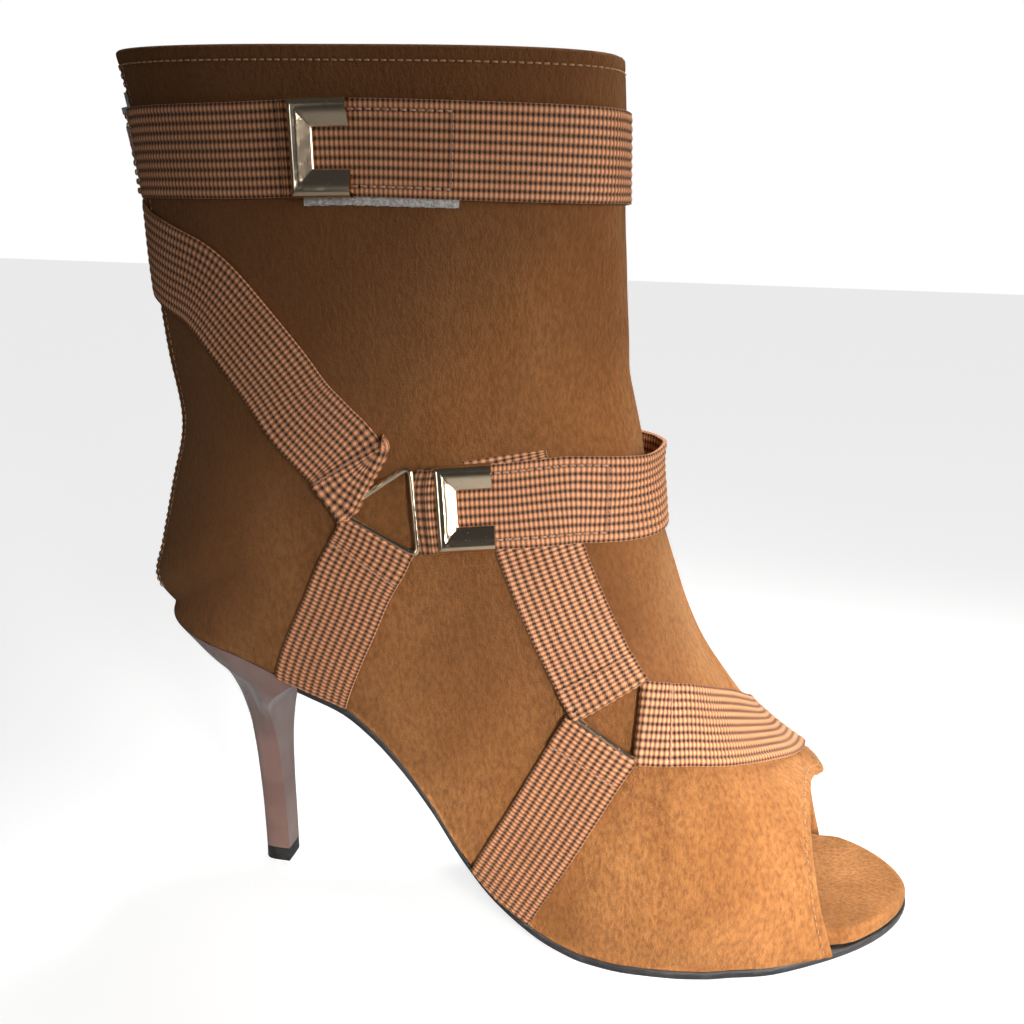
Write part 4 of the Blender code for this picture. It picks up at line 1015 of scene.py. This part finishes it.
def path_run(rows):
    """Finely spaced keys along a path of rows on the last, and the length walked to each."""
    keys = np.linspace(0, len(rows) - 1, 40 * len(rows))
    points = last_point(flowing(rows[:, 0], keys), flowing(rows[:, 1], keys))
    run = np.concatenate([[0], np.cumsum(np.linalg.norm(np.diff(points, axis=0), axis=1))])
    return keys, run


def path_lift(rows, column, keys):
    """A path's lift or tilt at each key, in metres."""
    return smooth(np.arange(len(rows)), rows[:, column] * WEB_THICK, keys)


def band_places(rows, at, across):
    """Sections and places on the last at lengths walked along a path and at distances to its side."""
    keys, run = path_run(rows)
    before = np.interp(at - 0.0008, run, keys).ravel()
    after = np.interp(at + 0.0008, run, keys).ravel()
    middle = np.interp(at, run, keys).ravel()
    heading = last_point(flowing(rows[:, 0], after), flowing(rows[:, 1], after))
    heading = heading - last_point(flowing(rows[:, 0], before), flowing(rows[:, 1], before))
    s = flowing(rows[:, 0], middle)
    t = flowing(rows[:, 1], middle)
    _, normal, _, _ = last_frame(s, t)
    s, t = step_over(s, t, np.cross(normal, heading), np.broadcast_to(across, at.shape).ravel())
    return s.reshape(at.shape), t.reshape(at.shape), middle.reshape(at.shape)


def band(rows, wide, long_step, columns, seam=None):
    """Sections, places, lifts and lengths walked of a band on the last, which may start on a seam's place."""
    rows = np.array(rows)
    _, run = path_run(rows)
    count = max(3, int(round(run[-1] / long_step)) + 1)
    across = np.linspace(-wide / 2, wide / 2, columns)[None, :]
    start = np.zeros(columns)
    if seam is not None:
        walk = np.linspace(0, run[-1] * 0.45, 90)
        _, t, _ = band_places(rows, np.repeat(walk[:, None], columns, axis=1), across)
        start = np.array([np.interp(seam, t[:, column], walk) for column in range(columns)])
    share = np.linspace(0, 1, count)[:, None]
    at = start + (run[-1] - start) * share
    s, t, keys = band_places(rows, at, across)
    lift = path_lift(rows, 2, keys) + path_lift(rows, 3, keys) * across / wide
    return s, t, lift, at


def between(grid, at):
    """Catmull-Rom curves through the rows of a grid, read at each row number of at."""
    padded = np.concatenate([2 * grid[:1] - grid[1:2], grid, 2 * grid[-1:] - grid[-2:-1]])
    i = np.clip(at.astype(int), 0, len(grid) - 2)
    u = (at - i).reshape((-1,) + (1,) * (grid.ndim - 1))
    a, b, c, d = padded[i], padded[i + 1], padded[i + 2], padded[i + 3]
    return b + 0.5 * u * (c - a + u * (2 * a - 5 * b + 4 * c - d + u * (3 * (b - c) + d - a)))


def unit(vectors):
    return vectors / np.maximum(np.linalg.norm(vectors, axis=-1, keepdims=True), 1e-12)


def weave_height(u, v):
    """Height of the webbing's face from 0 to 1 at u pitches along and v ribs across: each rib a round
    cord (0.5 - 0.5 cos 2 pi v) and each pitch a knuckle on it (0.5 - 0.5 cos 2 pi u)."""
    rib = (0.5 - 0.5 * np.cos(2 * np.pi * v)) ** 0.7
    knuckle = 0.5 - 0.5 * np.cos(2 * np.pi * u)
    return rib * (0.60 + 0.40 * knuckle)


def web_profile():
    """Closed section of the webbing: share across, height share, sideways step, rib number, and how
    much of the weave's relief it takes. Ten ribs on top, a round rope at each edge, a flat underside."""
    top = np.linspace(-0.5, 0.5, 5 * WEB_RIBS + 1)
    rope = np.linspace(0, np.pi, 7)[1:-1]
    right = [np.full(5, 0.5), 0.5 + 0.5 * np.cos(rope), 0.0003 * np.sin(rope)]
    right = np.stack(right + [10 + rope / np.pi, np.full(5, 0.3)], axis=1)
    left = right[::-1] * (-1, 1, -1, -1, 1) + (0, 0, 0, 10, 0)
    under = np.linspace(0.5, -0.5, 7)
    ones = np.ones(len(top))
    zeros = np.zeros(7)
    return np.concatenate(
        [
            np.stack([top, ones, 0 * ones, (top + 0.5) * WEB_RIBS, ones], axis=1),
            right,
            np.stack([under, zeros, zeros, 10 * (under + 0.5), zeros], axis=1),
            left,
        ]
    )


PROFILE = web_profile()
WEBS = {}


def fold_rows(base, normal, way, wire_high):
    """Rows that carry the webbing round a ring's wire: the surface turns about a line just past the
    strap's end, from its outer face over the far side of the wire to its underside."""
    turn = np.linspace(0, 1.08 * np.pi, 13)[:, None, None]
    ahead = unit(way - normal * (way * normal).sum(axis=-1, keepdims=True))
    centre = base + ahead * 0.0009 + normal * wire_high
    out = normal * np.cos(turn) + ahead * np.sin(turn)
    return np.broadcast_to(centre, out.shape), out


def webbing(name, node, seam, rows, start, end):
    """Strap along a path on the upper. start and end: plain, or ring where it is folded back under
    itself and round a wire. The surface is the last's, refined by Catmull-Rom curves, raised by the
    path's lift, the fold under it and the weave."""
    s, t, lift, at = band(rows, WEB_WIDE, 0.0026, 9, seam)
    face, normal, _, _ = last_frame(s, t)
    lift = lift + np.zeros(face.shape[:2])
    along = (at - at.min(axis=0)) + 0.0
    count = int(np.ptp(at[:, 4]) / (WEB_PITCH / 4))
    i = np.linspace(0, len(face) - 1, count)
    j = (PROFILE[:, 0] + 0.5) * 8

    def refined(grid):
        return np.swapaxes(between(np.swapaxes(between(grid, i), 0, 1), j), 0, 1)

    face = refined(face)
    normal = unit(refined(normal))
    lift = refined(lift[..., None])[..., 0]
    run = refined(at[..., None])[..., 0]
    side = unit(face[:, :1] - face[:, 50:51]) * -1
    low = lift + 0.0002
    for kind, far in ((start, run - run[:1]), (end, run[-1:] - run)):
        if kind == "ring":
            doubled = np.clip((FOLD_LONG - far) / 0.0016 + 0.5, 0, 1)
            low = low + FOLD_THICK * doubled * doubled * (3 - 2 * doubled)
    u = run / WEB_PITCH
    base = face
    if end == "ring":
        centre, out = fold_rows(face[-1], normal[-1], face[-1] - face[-4], 0.0013)
        base = np.concatenate([base, centre])
        normal = np.concatenate([normal, out])
        low = np.concatenate([low, np.full(out.shape[:2], RING_WIRE / 2 + 0.0001)])
        u = np.concatenate([u, u[-1] + np.linspace(0.5, 5, len(out))[:, None] + np.zeros(out.shape[:2])])
        side = np.concatenate([side, np.repeat(side[-1:], len(out), axis=0)])
    if start == "ring":
        centre, out = fold_rows(face[0], normal[0], face[0] - face[3], 0.0013)
        base = np.concatenate([centre[::-1], base])
        normal = np.concatenate([out[::-1], normal])
        low = np.concatenate([np.full(out.shape[:2], RING_WIRE / 2 + 0.0001), low])
        u = np.concatenate([u[0] - np.linspace(5, 0.5, len(out))[:, None] + np.zeros(out.shape[:2]), u])
        side = np.concatenate([np.repeat(side[:1], len(out), axis=0), side])
    thick = np.full(low.shape, WEB_THICK)
    if end == "ring":
        thick[-13:] = 0.0010
    if start == "ring":
        thick[:13] = 0.0010
    relief = 0.00032 * PROFILE[:, 4] * (weave_height(u, PROFILE[:, 3]) - 1)
    raised = (low + thick * PROFILE[:, 1] + relief)[..., None]
    points = base + normal * raised + side * PROFILE[:, 2][None, :, None]
    shape = points.shape[:2]
    uv = np.stack([u, np.broadcast_to(PROFILE[:, 3], shape)], axis=-1)
    ends = []
    for row in (points[0], points[-1]):
        ends.append((row.mean(axis=0) + (row - row.mean(axis=0)) * 0.02)[None])
    points = np.concatenate([ends[0], points, ends[1]])
    uv = np.concatenate([uv[:1], uv, uv[-1:]])
    made = piece(name, points, grid_faces(*points.shape[:2], round_columns=True), web_finish, uv=uv)
    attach(made, "boot")
    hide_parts(node)
    first = 13 * (start == "ring")
    top_low = low[first:][: len(face)]
    top = face + normal[first:][: len(face)] * (top_low + WEB_THICK)[..., None]
    WEBS[name] = (top[:, :51], unit(normal[13 * (start == "ring") :][: len(face)])[:, :51], run[:, 25])
    return made


def webbing_look(made):
    """Webbing thread: each knuckle a bundle of copper filaments. Its colour is painted light: a golden
    highlight on each knuckle's crown, shade in the dips between ribs and knuckles, diagonal fibre streaks
    that are the thread's own lay lightened as a highlight, and a hole where four knuckles meet painted near
    black as shade."""
    at = add(made, "TexCoord").outputs
    split = add(made, "SeparateXYZ", {"Vector": at["UV"]}).outputs
    along, across = split[0], split[1]
    pitch = maths(made, "COSINE", maths(made, "MULTIPLY", along, 2 * np.pi))
    rib = maths(made, "COSINE", maths(made, "MULTIPLY", across, 2 * np.pi))
    valley = maths(made, "MULTIPLY_ADD", rib, 0.5, 0.5)
    gap = maths(made, "MULTIPLY_ADD", pitch, 0.5, 0.5)
    hole = maths(made, "MULTIPLY", maths(made, "POWER", valley, 3.0), maths(made, "POWER", gap, 2.0))
    crown = maths(made, "MULTIPLY", maths(made, "SUBTRACT", 1.0, valley), maths(made, "SUBTRACT", 1.0, gap))
    lay = maths(made, "MULTIPLY", along, 9.0)
    twist = maths(made, "SINE", maths(made, "MULTIPLY_ADD", across, 26.0, lay))
    fibre = maths(made, "MULTIPLY_ADD", twist, 0.5, 0.5)
    worn = patches(made, at["Object"], 90.0, detail=3.0)
    # Painted light: the colour runs from painted shade in the dips between ribs and knuckles to a painted
    # highlight on each knuckle's crown.
    colour = blended(made, crown, (0.150, 0.042, 0.018), (0.960, 0.450, 0.220))
    # The diagonal fibre streaks are the thread's own lay, lightened here as a painted highlight.
    colour = blended(made, maths(made, "MULTIPLY", fibre, 0.30), colour, (1.000, 0.540, 0.270))
    colour = blended(made, maths(made, "MULTIPLY", worn, 0.15), colour, (0.230, 0.082, 0.035))
    # Painted shade: each hole where four knuckles meet is coloured near black, standing in for the shade that
    # falls into it.
    painted_hole_shade = maths(made, "MINIMUM", maths(made, "MULTIPLY", hole, 2.2), 1.0)
    colour = blended(made, painted_hole_shade, colour, (0.030, 0.011, 0.006))
    rise = maths(made, "MULTIPLY_ADD", fibre, 0.2, maths(made, "MULTIPLY", crown, 0.5))
    rise = maths(made, "SUBTRACT", rise, hole)
    return {
        "Base Color": colour,
        "Roughness": 0.62,
        "Specular IOR Level": 0.35,
        "Sheen Weight": 0.15,
        "Sheen Tint": (1.0, 0.75, 0.5, 1.0),
        "Normal": bumped(made, rise, 0.00025),
    }


web_finish = finish_of("copper_webbing", webbing_look)
WEB_ENDS = {
    "strap_collar": ("plain", "plain"),
    "strap_ankle": ("plain", "ring"),
    "strap_arch": ("ring", "plain"),
    "strap_instep": ("ring", "plain"),
    "strap_drop": ("plain", "ring"),
    "strap_vamp": ("ring", "plain"),
    "strap_ball": ("ring", "plain"),
}
for node, (seam, rows) in STRAPS.items():
    webbing(node.replace("strap", "web"), node, seam, rows, *WEB_ENDS[node])


# Sewing on the straps: polyester thread a little lighter than the webbing, in rectangles that hold the
# hidden strap ends beside each clip, and in one row across each fold by a ring.
def on_web(name, along, across):
    """Points and normals on a strap's outer face at lengths along it and shares across it."""
    top, normal, run = WEBS[name]
    i = np.interp(along, run, np.arange(len(run)))
    j = np.clip((across + 0.5) * 50, 0, 50)
    a = i.astype(int)
    b = np.minimum(a + 1, len(run) - 1)
    c = np.round(j).astype(int)
    share = (i - a)[:, None]
    return top[a, c] * (1 - share) + top[b, c] * share, normal[a, c]


def sewn_on_web(name, web, corners, pitch=0.0021, thick=0.00042):
    """Rows of stitches between neighbouring corners, each a length along the strap and a share across."""
    starts, ends, ups = [], [], []
    for (a, p), (b, q) in zip(corners[:-1], corners[1:]):
        share = np.linspace(0, 1, 60)
        line, up = on_web(web, a + (b - a) * share, p + (q - p) * share)
        start, end, at = stitch_ends(line + up * 0.00012, pitch)
        starts.append(start)
        ends.append(end)
        ups.append(unit(np.stack([np.interp(at, share, up[:, axis]) for axis in range(3)], axis=-1)))
    made = threads(name, np.concatenate(starts), np.concatenate(ends), np.concatenate(ups), thick, web_thread)
    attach(made, "boot")


def web_thread_look(made):
    """Polyester thread on the webbing: twisted, pale copper."""
    at = add(made, "TexCoord").outputs["Object"]
    twist = patches(made, at, 5200.0, detail=0.0)
    colour = blended(made, twist, (0.300, 0.130, 0.065), (0.620, 0.350, 0.210))
    return {"Base Color": colour, "Roughness": 0.55, "Sheen Weight": 0.2}


web_thread = finish_of("copper_thread", web_thread_look)


def fold_row(web, from_end):
    """One row across a strap at FOLD_LONG from its ring end."""
    run = WEBS[web][2]
    along = run[-1] - FOLD_LONG if from_end else run[0] + FOLD_LONG
    sewn_on_web(web + "_fold_stitches", web, [(along, -0.46), (along, 0.46)])


fold_row("web_ankle", True)
fold_row("web_arch", False)
fold_row("web_drop", True)
fold_row("web_vamp", False)
fold_row("web_ball", False)
COLLAR_BOX = (0.0640, 0.0920)
INSTEP_BOX = (0.0150, 0.0440)
for web, (near, far) in (("web_collar", COLLAR_BOX), ("web_instep", INSTEP_BOX)):
    sewn_on_web(web + "_box_stitches", web, [(near, -0.40), (far, -0.40), (far, 0.40), (near, 0.40)])
for number, along in enumerate((0.0040, 0.0068)):
    sewn_on_web(f"web_collar_seam_stitches_{number}", "web_collar", [(along, -0.48), (along, 0.48)])


# Hardware: two triangular rings of bent wire and two C shaped clips of pressed sheet, all plated a pale
# champagne and polished. The rings hang in the folds of three straps each; the clips hook over the
# straps, with bevelled bars that meet in mitred corners.
RINGS = {
    # section and place of each corner
    "ring_ankle": ((15.01, -0.522), (15.33, -0.394), (11.42, -0.553)),
    "ring_vamp": ((7.43, -0.517), (5.78, -0.315), (5.32, -0.475)),
}
RING_BEND = 0.13


def metal_look(made):
    """Champagne plating: a warm mirror with hairline rubs and slight waves from the press."""
    at = add(made, "TexCoord").outputs["Object"]
    wave = patches(made, at, 130.0, detail=2.0)
    rub = patches(made, at, 1500.0, detail=4.0, low=0.55, high=0.8)
    rough = add(made, "MapRange", {"Value": rub, "To Min": 0.16, "To Max": 0.34}).outputs[0]
    colour = blended(made, rub, (0.860, 0.700, 0.500), (0.700, 0.540, 0.370))
    return {
        "Base Color": colour,
        "Metallic": 1.0,
        "Roughness": rough,
        "Normal": bumped(made, wave, 0.0003, strength=0.2),
    }


champagne = finish_of("champagne_plating", metal_look)


def tube(path, up, radius, sides=12):
    """Round tube round a closed path: each ring is radius times (cos, sin) of the turn about the path."""
    along = unit(np.roll(path, -1, axis=0) - np.roll(path, 1, axis=0))
    side = unit(np.cross(up, along))
    lift = np.cross(along, side)
    turn = np.linspace(0, 2 * np.pi, sides + 1)[:-1][None, :, None]
    return path[:, None] + radius * (np.cos(turn) * side[:, None] + np.sin(turn) * lift[:, None])


def wire_ring(name, node, corners):
    """Triangle of wire with bent corners: sides straight in space, and at each corner a parabola
    between points RING_BEND of the way along the two sides."""
    places = np.array(corners)
    corners, normal = on_upper(places[:, 0], places[:, 1], np.full(3, 0.0010 + RING_WIRE / 2))
    mean = unit(normal.mean(axis=0))
    parts = []
    for i in range(3):
        before, at, after = corners[i - 1], corners[i], corners[(i + 1) % 3]
        a = at + (before - at) * RING_BEND
        b = at + (after - at) * RING_BEND
        u = np.linspace(0, 1, 12)[:, None]
        parts.append((1 - u) ** 2 * a + 2 * u * (1 - u) * at + u**2 * b)
        c = after + (at - after) * RING_BEND
        parts.append(b + (c - b) * np.linspace(0, 1, 16)[1:-1, None])
    flat = np.concatenate(parts)
    loops = tube(flat, np.broadcast_to(mean, flat.shape), RING_WIRE / 2)
    made = piece(name, loops, grid_faces(*loops.shape[:2], True, True)[:, ::-1], champagne)
    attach(made, "boot")
    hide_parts(node)


for ring, corners in RINGS.items():
    wire_ring(ring.replace("ring", "wire"), ring, corners)

CLIP_LONG = 0.0142
CLIP_HIGH = 0.0212
CLIP_BAR_BACK = 0.0056
CLIP_BAR_SIDE = 0.0063
CLIPS = {"clip_collar": ("strap_collar", 0.2190), "clip_instep": ("strap_instep", 0.0560)}
# The bar from its outer edge to its inner one: share of its width, and height over the strap.
CLIP_BAR = (
    (0.00, -0.0006),
    (0.00, 0.0006),
    (0.03, 0.0013),
    (0.10, 0.0020),
    (0.22, 0.0024),
    (0.42, 0.0024),
    (0.58, 0.0020),
    (0.80, 0.0011),
    (0.92, 0.0008),
    (0.97, 0.0006),
    (1.00, 0.0002),
    (1.00, -0.0006),
)


def clip_points():
    """C of four points at each of the bar's stations: the outer corners moved in by the share of each
    bar's width, so that the mitres run from the outer corners to the inner ones."""
    share = np.array(CLIP_BAR)[:, 0]
    high = np.array(CLIP_BAR)[:, 1]
    back = -CLIP_LONG / 2 + share * CLIP_BAR_BACK
    side = CLIP_HIGH / 2 - share * CLIP_BAR_SIDE
    front = np.full(len(share), CLIP_LONG / 2)
    rows = []
    for x, y in ((front, -side), (back, -side), (back, side), (front, side)):
        rows.append(np.stack([x, y, high], axis=-1))
    corners = np.array(rows)
    parts = [between_two(corners[i], corners[i + 1], 12) for i in range(3)]
    return np.concatenate([*parts, corners[-1:]])


def between_two(first, second, count):
    share = np.linspace(0, 1, count + 1)[:-1, None, None]
    return first + (second - first) * share


def frame_on_path(rows, share):
    """Point on the last and its normal at a share of a path's length, with the path's heading."""
    rows = np.array(rows)
    keys, run = path_run(rows)
    key = np.interp(share * run[-1], run, keys) + np.array([-0.1, 0.0, 0.1])
    point, normal, _, _ = last_frame(flowing(rows[:, 0], key), flowing(rows[:, 1], key))
    return point[1], normal[1], unit(point[2] - point[0]), path_lift(rows, 2, key)[1]


for clip, (strap, share) in CLIPS.items():
    point, normal, heading, lift = frame_on_path(STRAPS[strap][1], share)
    ahead = unit(heading - normal * (heading @ normal))
    axes = np.stack([ahead, np.cross(normal, ahead), normal])
    shape = clip_points()
    origin = point + normal * (GAP + lift + WEB_THICK + 0.0003)
    rows, columns = shape.shape[:2]
    faces = grid_faces(rows, columns, round_columns=True)
    name = clip.replace("clip", "bevelled_clip")
    made = piece(name, origin + shape @ axes, faces[:, ::-1], champagne, sharp=np.radians(24))
    bend = made.modifiers.new("edges", "BEVEL")
    bend.width = 0.00018
    bend.segments = 2
    bend.limit_method = "ANGLE"
    bend.angle_limit = np.radians(24)
    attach(made, "boot")
    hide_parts(clip)


# The folds beside the clips: the strap's end turned up on edge where it goes round the clip's hidden
# bar, a narrow dark strip of the same webbing.
def fold_strip(name, web, along, wide, high):
    """Half round ridge across a strap: height high times sqrt(1 - x^2) over its width, ribs following."""
    across = np.linspace(-0.5, 0.5, 51)
    top, normal, run = WEBS[web]
    here = np.array([np.interp(along, run, np.arange(len(run)))]).astype(int)[0]
    base = top[here]
    up = normal[here]
    ahead = unit(top[here + 1] - top[here - 1])
    turn = np.linspace(0, np.pi, 15)[:, None, None]
    v = (across + 0.5) * WEB_RIBS
    relief = 0.00015 * (weave_height(turn[..., 0] * 1.5, v[None, :]) - 1)[..., None]
    over = ahead * (wide / 2 + relief) * np.cos(turn)
    points = base - up * 0.0004 - over + up * (high + relief) * np.sin(turn)
    uv = np.stack(np.broadcast_arrays(turn[..., 0] * 1.5, v[None, :]), axis=-1)
    made = piece(name, points, grid_faces(*points.shape[:2])[:, ::-1], web_finish, uv=uv)
    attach(made, "boot")


fold_strip("collar_clip_fold", "web_collar", 0.0530, 0.0022, 0.0016)
fold_strip("instep_clip_fold", "web_instep", 0.0018, 0.0030, 0.0014)


# The backing tape: a pale grey felt strip glued behind the collar strap, whose lower edge peeps out.
BACKING_FROM = -0.575
BACKING_TO = -0.325
BACKING_WIDE = 0.0020
BACKING_THICK = 0.0006


def felt_look(made):
    """Grey felt: loose fibres over a pale ground."""
    at = add(made, "TexCoord").outputs["Object"]
    fibre = patches(made, at, 1400.0, detail=4.0)
    colour = blended(made, fibre, (0.360, 0.350, 0.340), (0.720, 0.710, 0.690))
    return {"Base Color": colour, "Roughness": 0.95, "Normal": bumped(made, fibre, 0.0003)}


felt = finish_of("grey_felt", felt_look)
collar_rows = np.array(STRAPS["strap_collar"][1])
places = np.linspace(BACKING_FROM, BACKING_TO, 90)
middle = np.interp(places, collar_rows[:, 1], collar_rows[:, 0])
down = np.broadcast_to([0.0, 0.0, -1.0], (90, 3))
ragged = 0.00012 * np.sin(places * 390) * np.sin(places * 171 + 1)
drops = WEB_WIDE / 2 - 0.0006 + (BACKING_WIDE + 0.0008) * np.array([0.0, 0.3, 0.6, 0.85, 0.97, 1.0, 1.0])
stands = np.array([0.4, 1.0, 1.0, 1.0, 0.8, 0.4, 0.0]) * BACKING_THICK
columns = []
for drop, stand in zip(drops, stands):
    s_line, t_line = step_over(middle, places, down, drop + ragged)
    columns.append(on_upper(s_line, t_line, np.full(90, 0.0001 + stand))[0])
tape = np.stack(columns, axis=1)
backing = piece("felt_backing", tape, grid_faces(*tape.shape[:2]), felt)
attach(backing, "boot")
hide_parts("backing_tape")


# The back zip: a black nylon coil on a black woven tape, sewn into the back seam, with a pressed metal
# slider locked at the top. Its pull is a flat black tab that swings on the slider's pin.
ZIP_FROM = 16.20
ZIP_TO = 23.85
ZIP_WIDE = 0.0050
COIL_WIDE = 0.0030
COIL_PITCH = 0.0011


def tape_look(made):
    """Woven zip tape: black, with a fine herringbone tooth."""
    at = add(made, "TexCoord").outputs["Object"]
    ripple = {"Vector": at, "Scale": 900.0, "Distortion": 1.0}
    wave = add(made, "TexWave", ripple, bands_direction="Z").outputs["Fac"]
    colour = blended(made, wave, (0.008, 0.008, 0.009), (0.028, 0.028, 0.030))
    return {"Base Color": colour, "Roughness": 0.7, "Normal": bumped(made, wave, 0.00012)}


def coil_look(made):
    """Nylon coil: smooth black monofilament with a soft gloss."""
    at = add(made, "TexCoord").outputs["Object"]
    film = patches(made, at, 700.0, detail=2.0)
    rough = add(made, "MapRange", {"Value": film, "To Min": 0.30, "To Max": 0.45}).outputs[0]
    return {"Base Color": (0.012, 0.012, 0.013, 1.0), "Roughness": rough}


def enamel_look(made):
    """Black enamelled metal: satin, rubbed a little browner where fingers touch."""
    at = add(made, "TexCoord").outputs["Object"]
    rub = patches(made, at, 420.0, detail=4.0, low=0.5, high=0.8)
    colour = blended(made, rub, (0.010, 0.010, 0.011), (0.045, 0.040, 0.036))
    rough = add(made, "MapRange", {"Value": rub, "To Min": 0.28, "To Max": 0.48}).outputs[0]
    return {"Base Color": colour, "Roughness": rough, "Specular IOR Level": 0.6}


zip_tape = finish_of("zip_tape", tape_look)
coil = finish_of("nylon_coil", coil_look)
enamel = finish_of("black_enamel", enamel_look)
zip_s = np.linspace(ZIP_FROM, ZIP_TO, 140)
centre, away, by_s, by_t = last_frame(zip_s, np.ones(140))
away = unit(away * (1, 0, 1))
across = np.array([0.0, 1.0, 0.0])
rise = unit(by_s)
width = np.array([-0.5, -0.46, -0.3, -0.1, 0.1, 0.3, 0.46, 0.5])[None, :, None] * ZIP_WIDE
stand = np.array([0.0, 1.0, 1.0, 1.0, 1.0, 1.0, 1.0, 0.0])[None, :, None] * 0.0004
tape = centre[:, None] + across * width + away[:, None] * stand
tape = piece("zip_tape_strip", tape, grid_faces(*tape.shape[:2])[:, ::-1], zip_tape)
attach(tape, "boot")
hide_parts("zip_teeth")

run = np.concatenate([[0], np.linalg.norm(np.diff(centre, axis=0), axis=1).cumsum()])
count = int(run[-1] / COIL_PITCH)
at = (np.arange(2 * count) + 0.5) * run[-1] / (2 * count)


def along_zip(values):
    return np.stack([np.interp(at, run, values[:, axis]) for axis in range(3)], axis=-1)


way = np.where(np.arange(2 * count) % 2, 1.0, -1.0)[:, None]
tooth_start = along_zip(centre) + across * way * COIL_WIDE / 2
tooth_end = along_zip(centre) - across * way * COIL_WIDE * 0.12
proud = along_zip(away) * 0.0005
out = unit(along_zip(away))
teeth = threads("zip_coil", tooth_start + proud, tooth_end + proud, out, 0.0007, coil, rise=0.6)
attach(teeth, "boot")

for node in ("zip_slider", "zip_pull"):
    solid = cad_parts[node]
    solid.data.materials.clear()
    solid.data.materials.append(enamel)
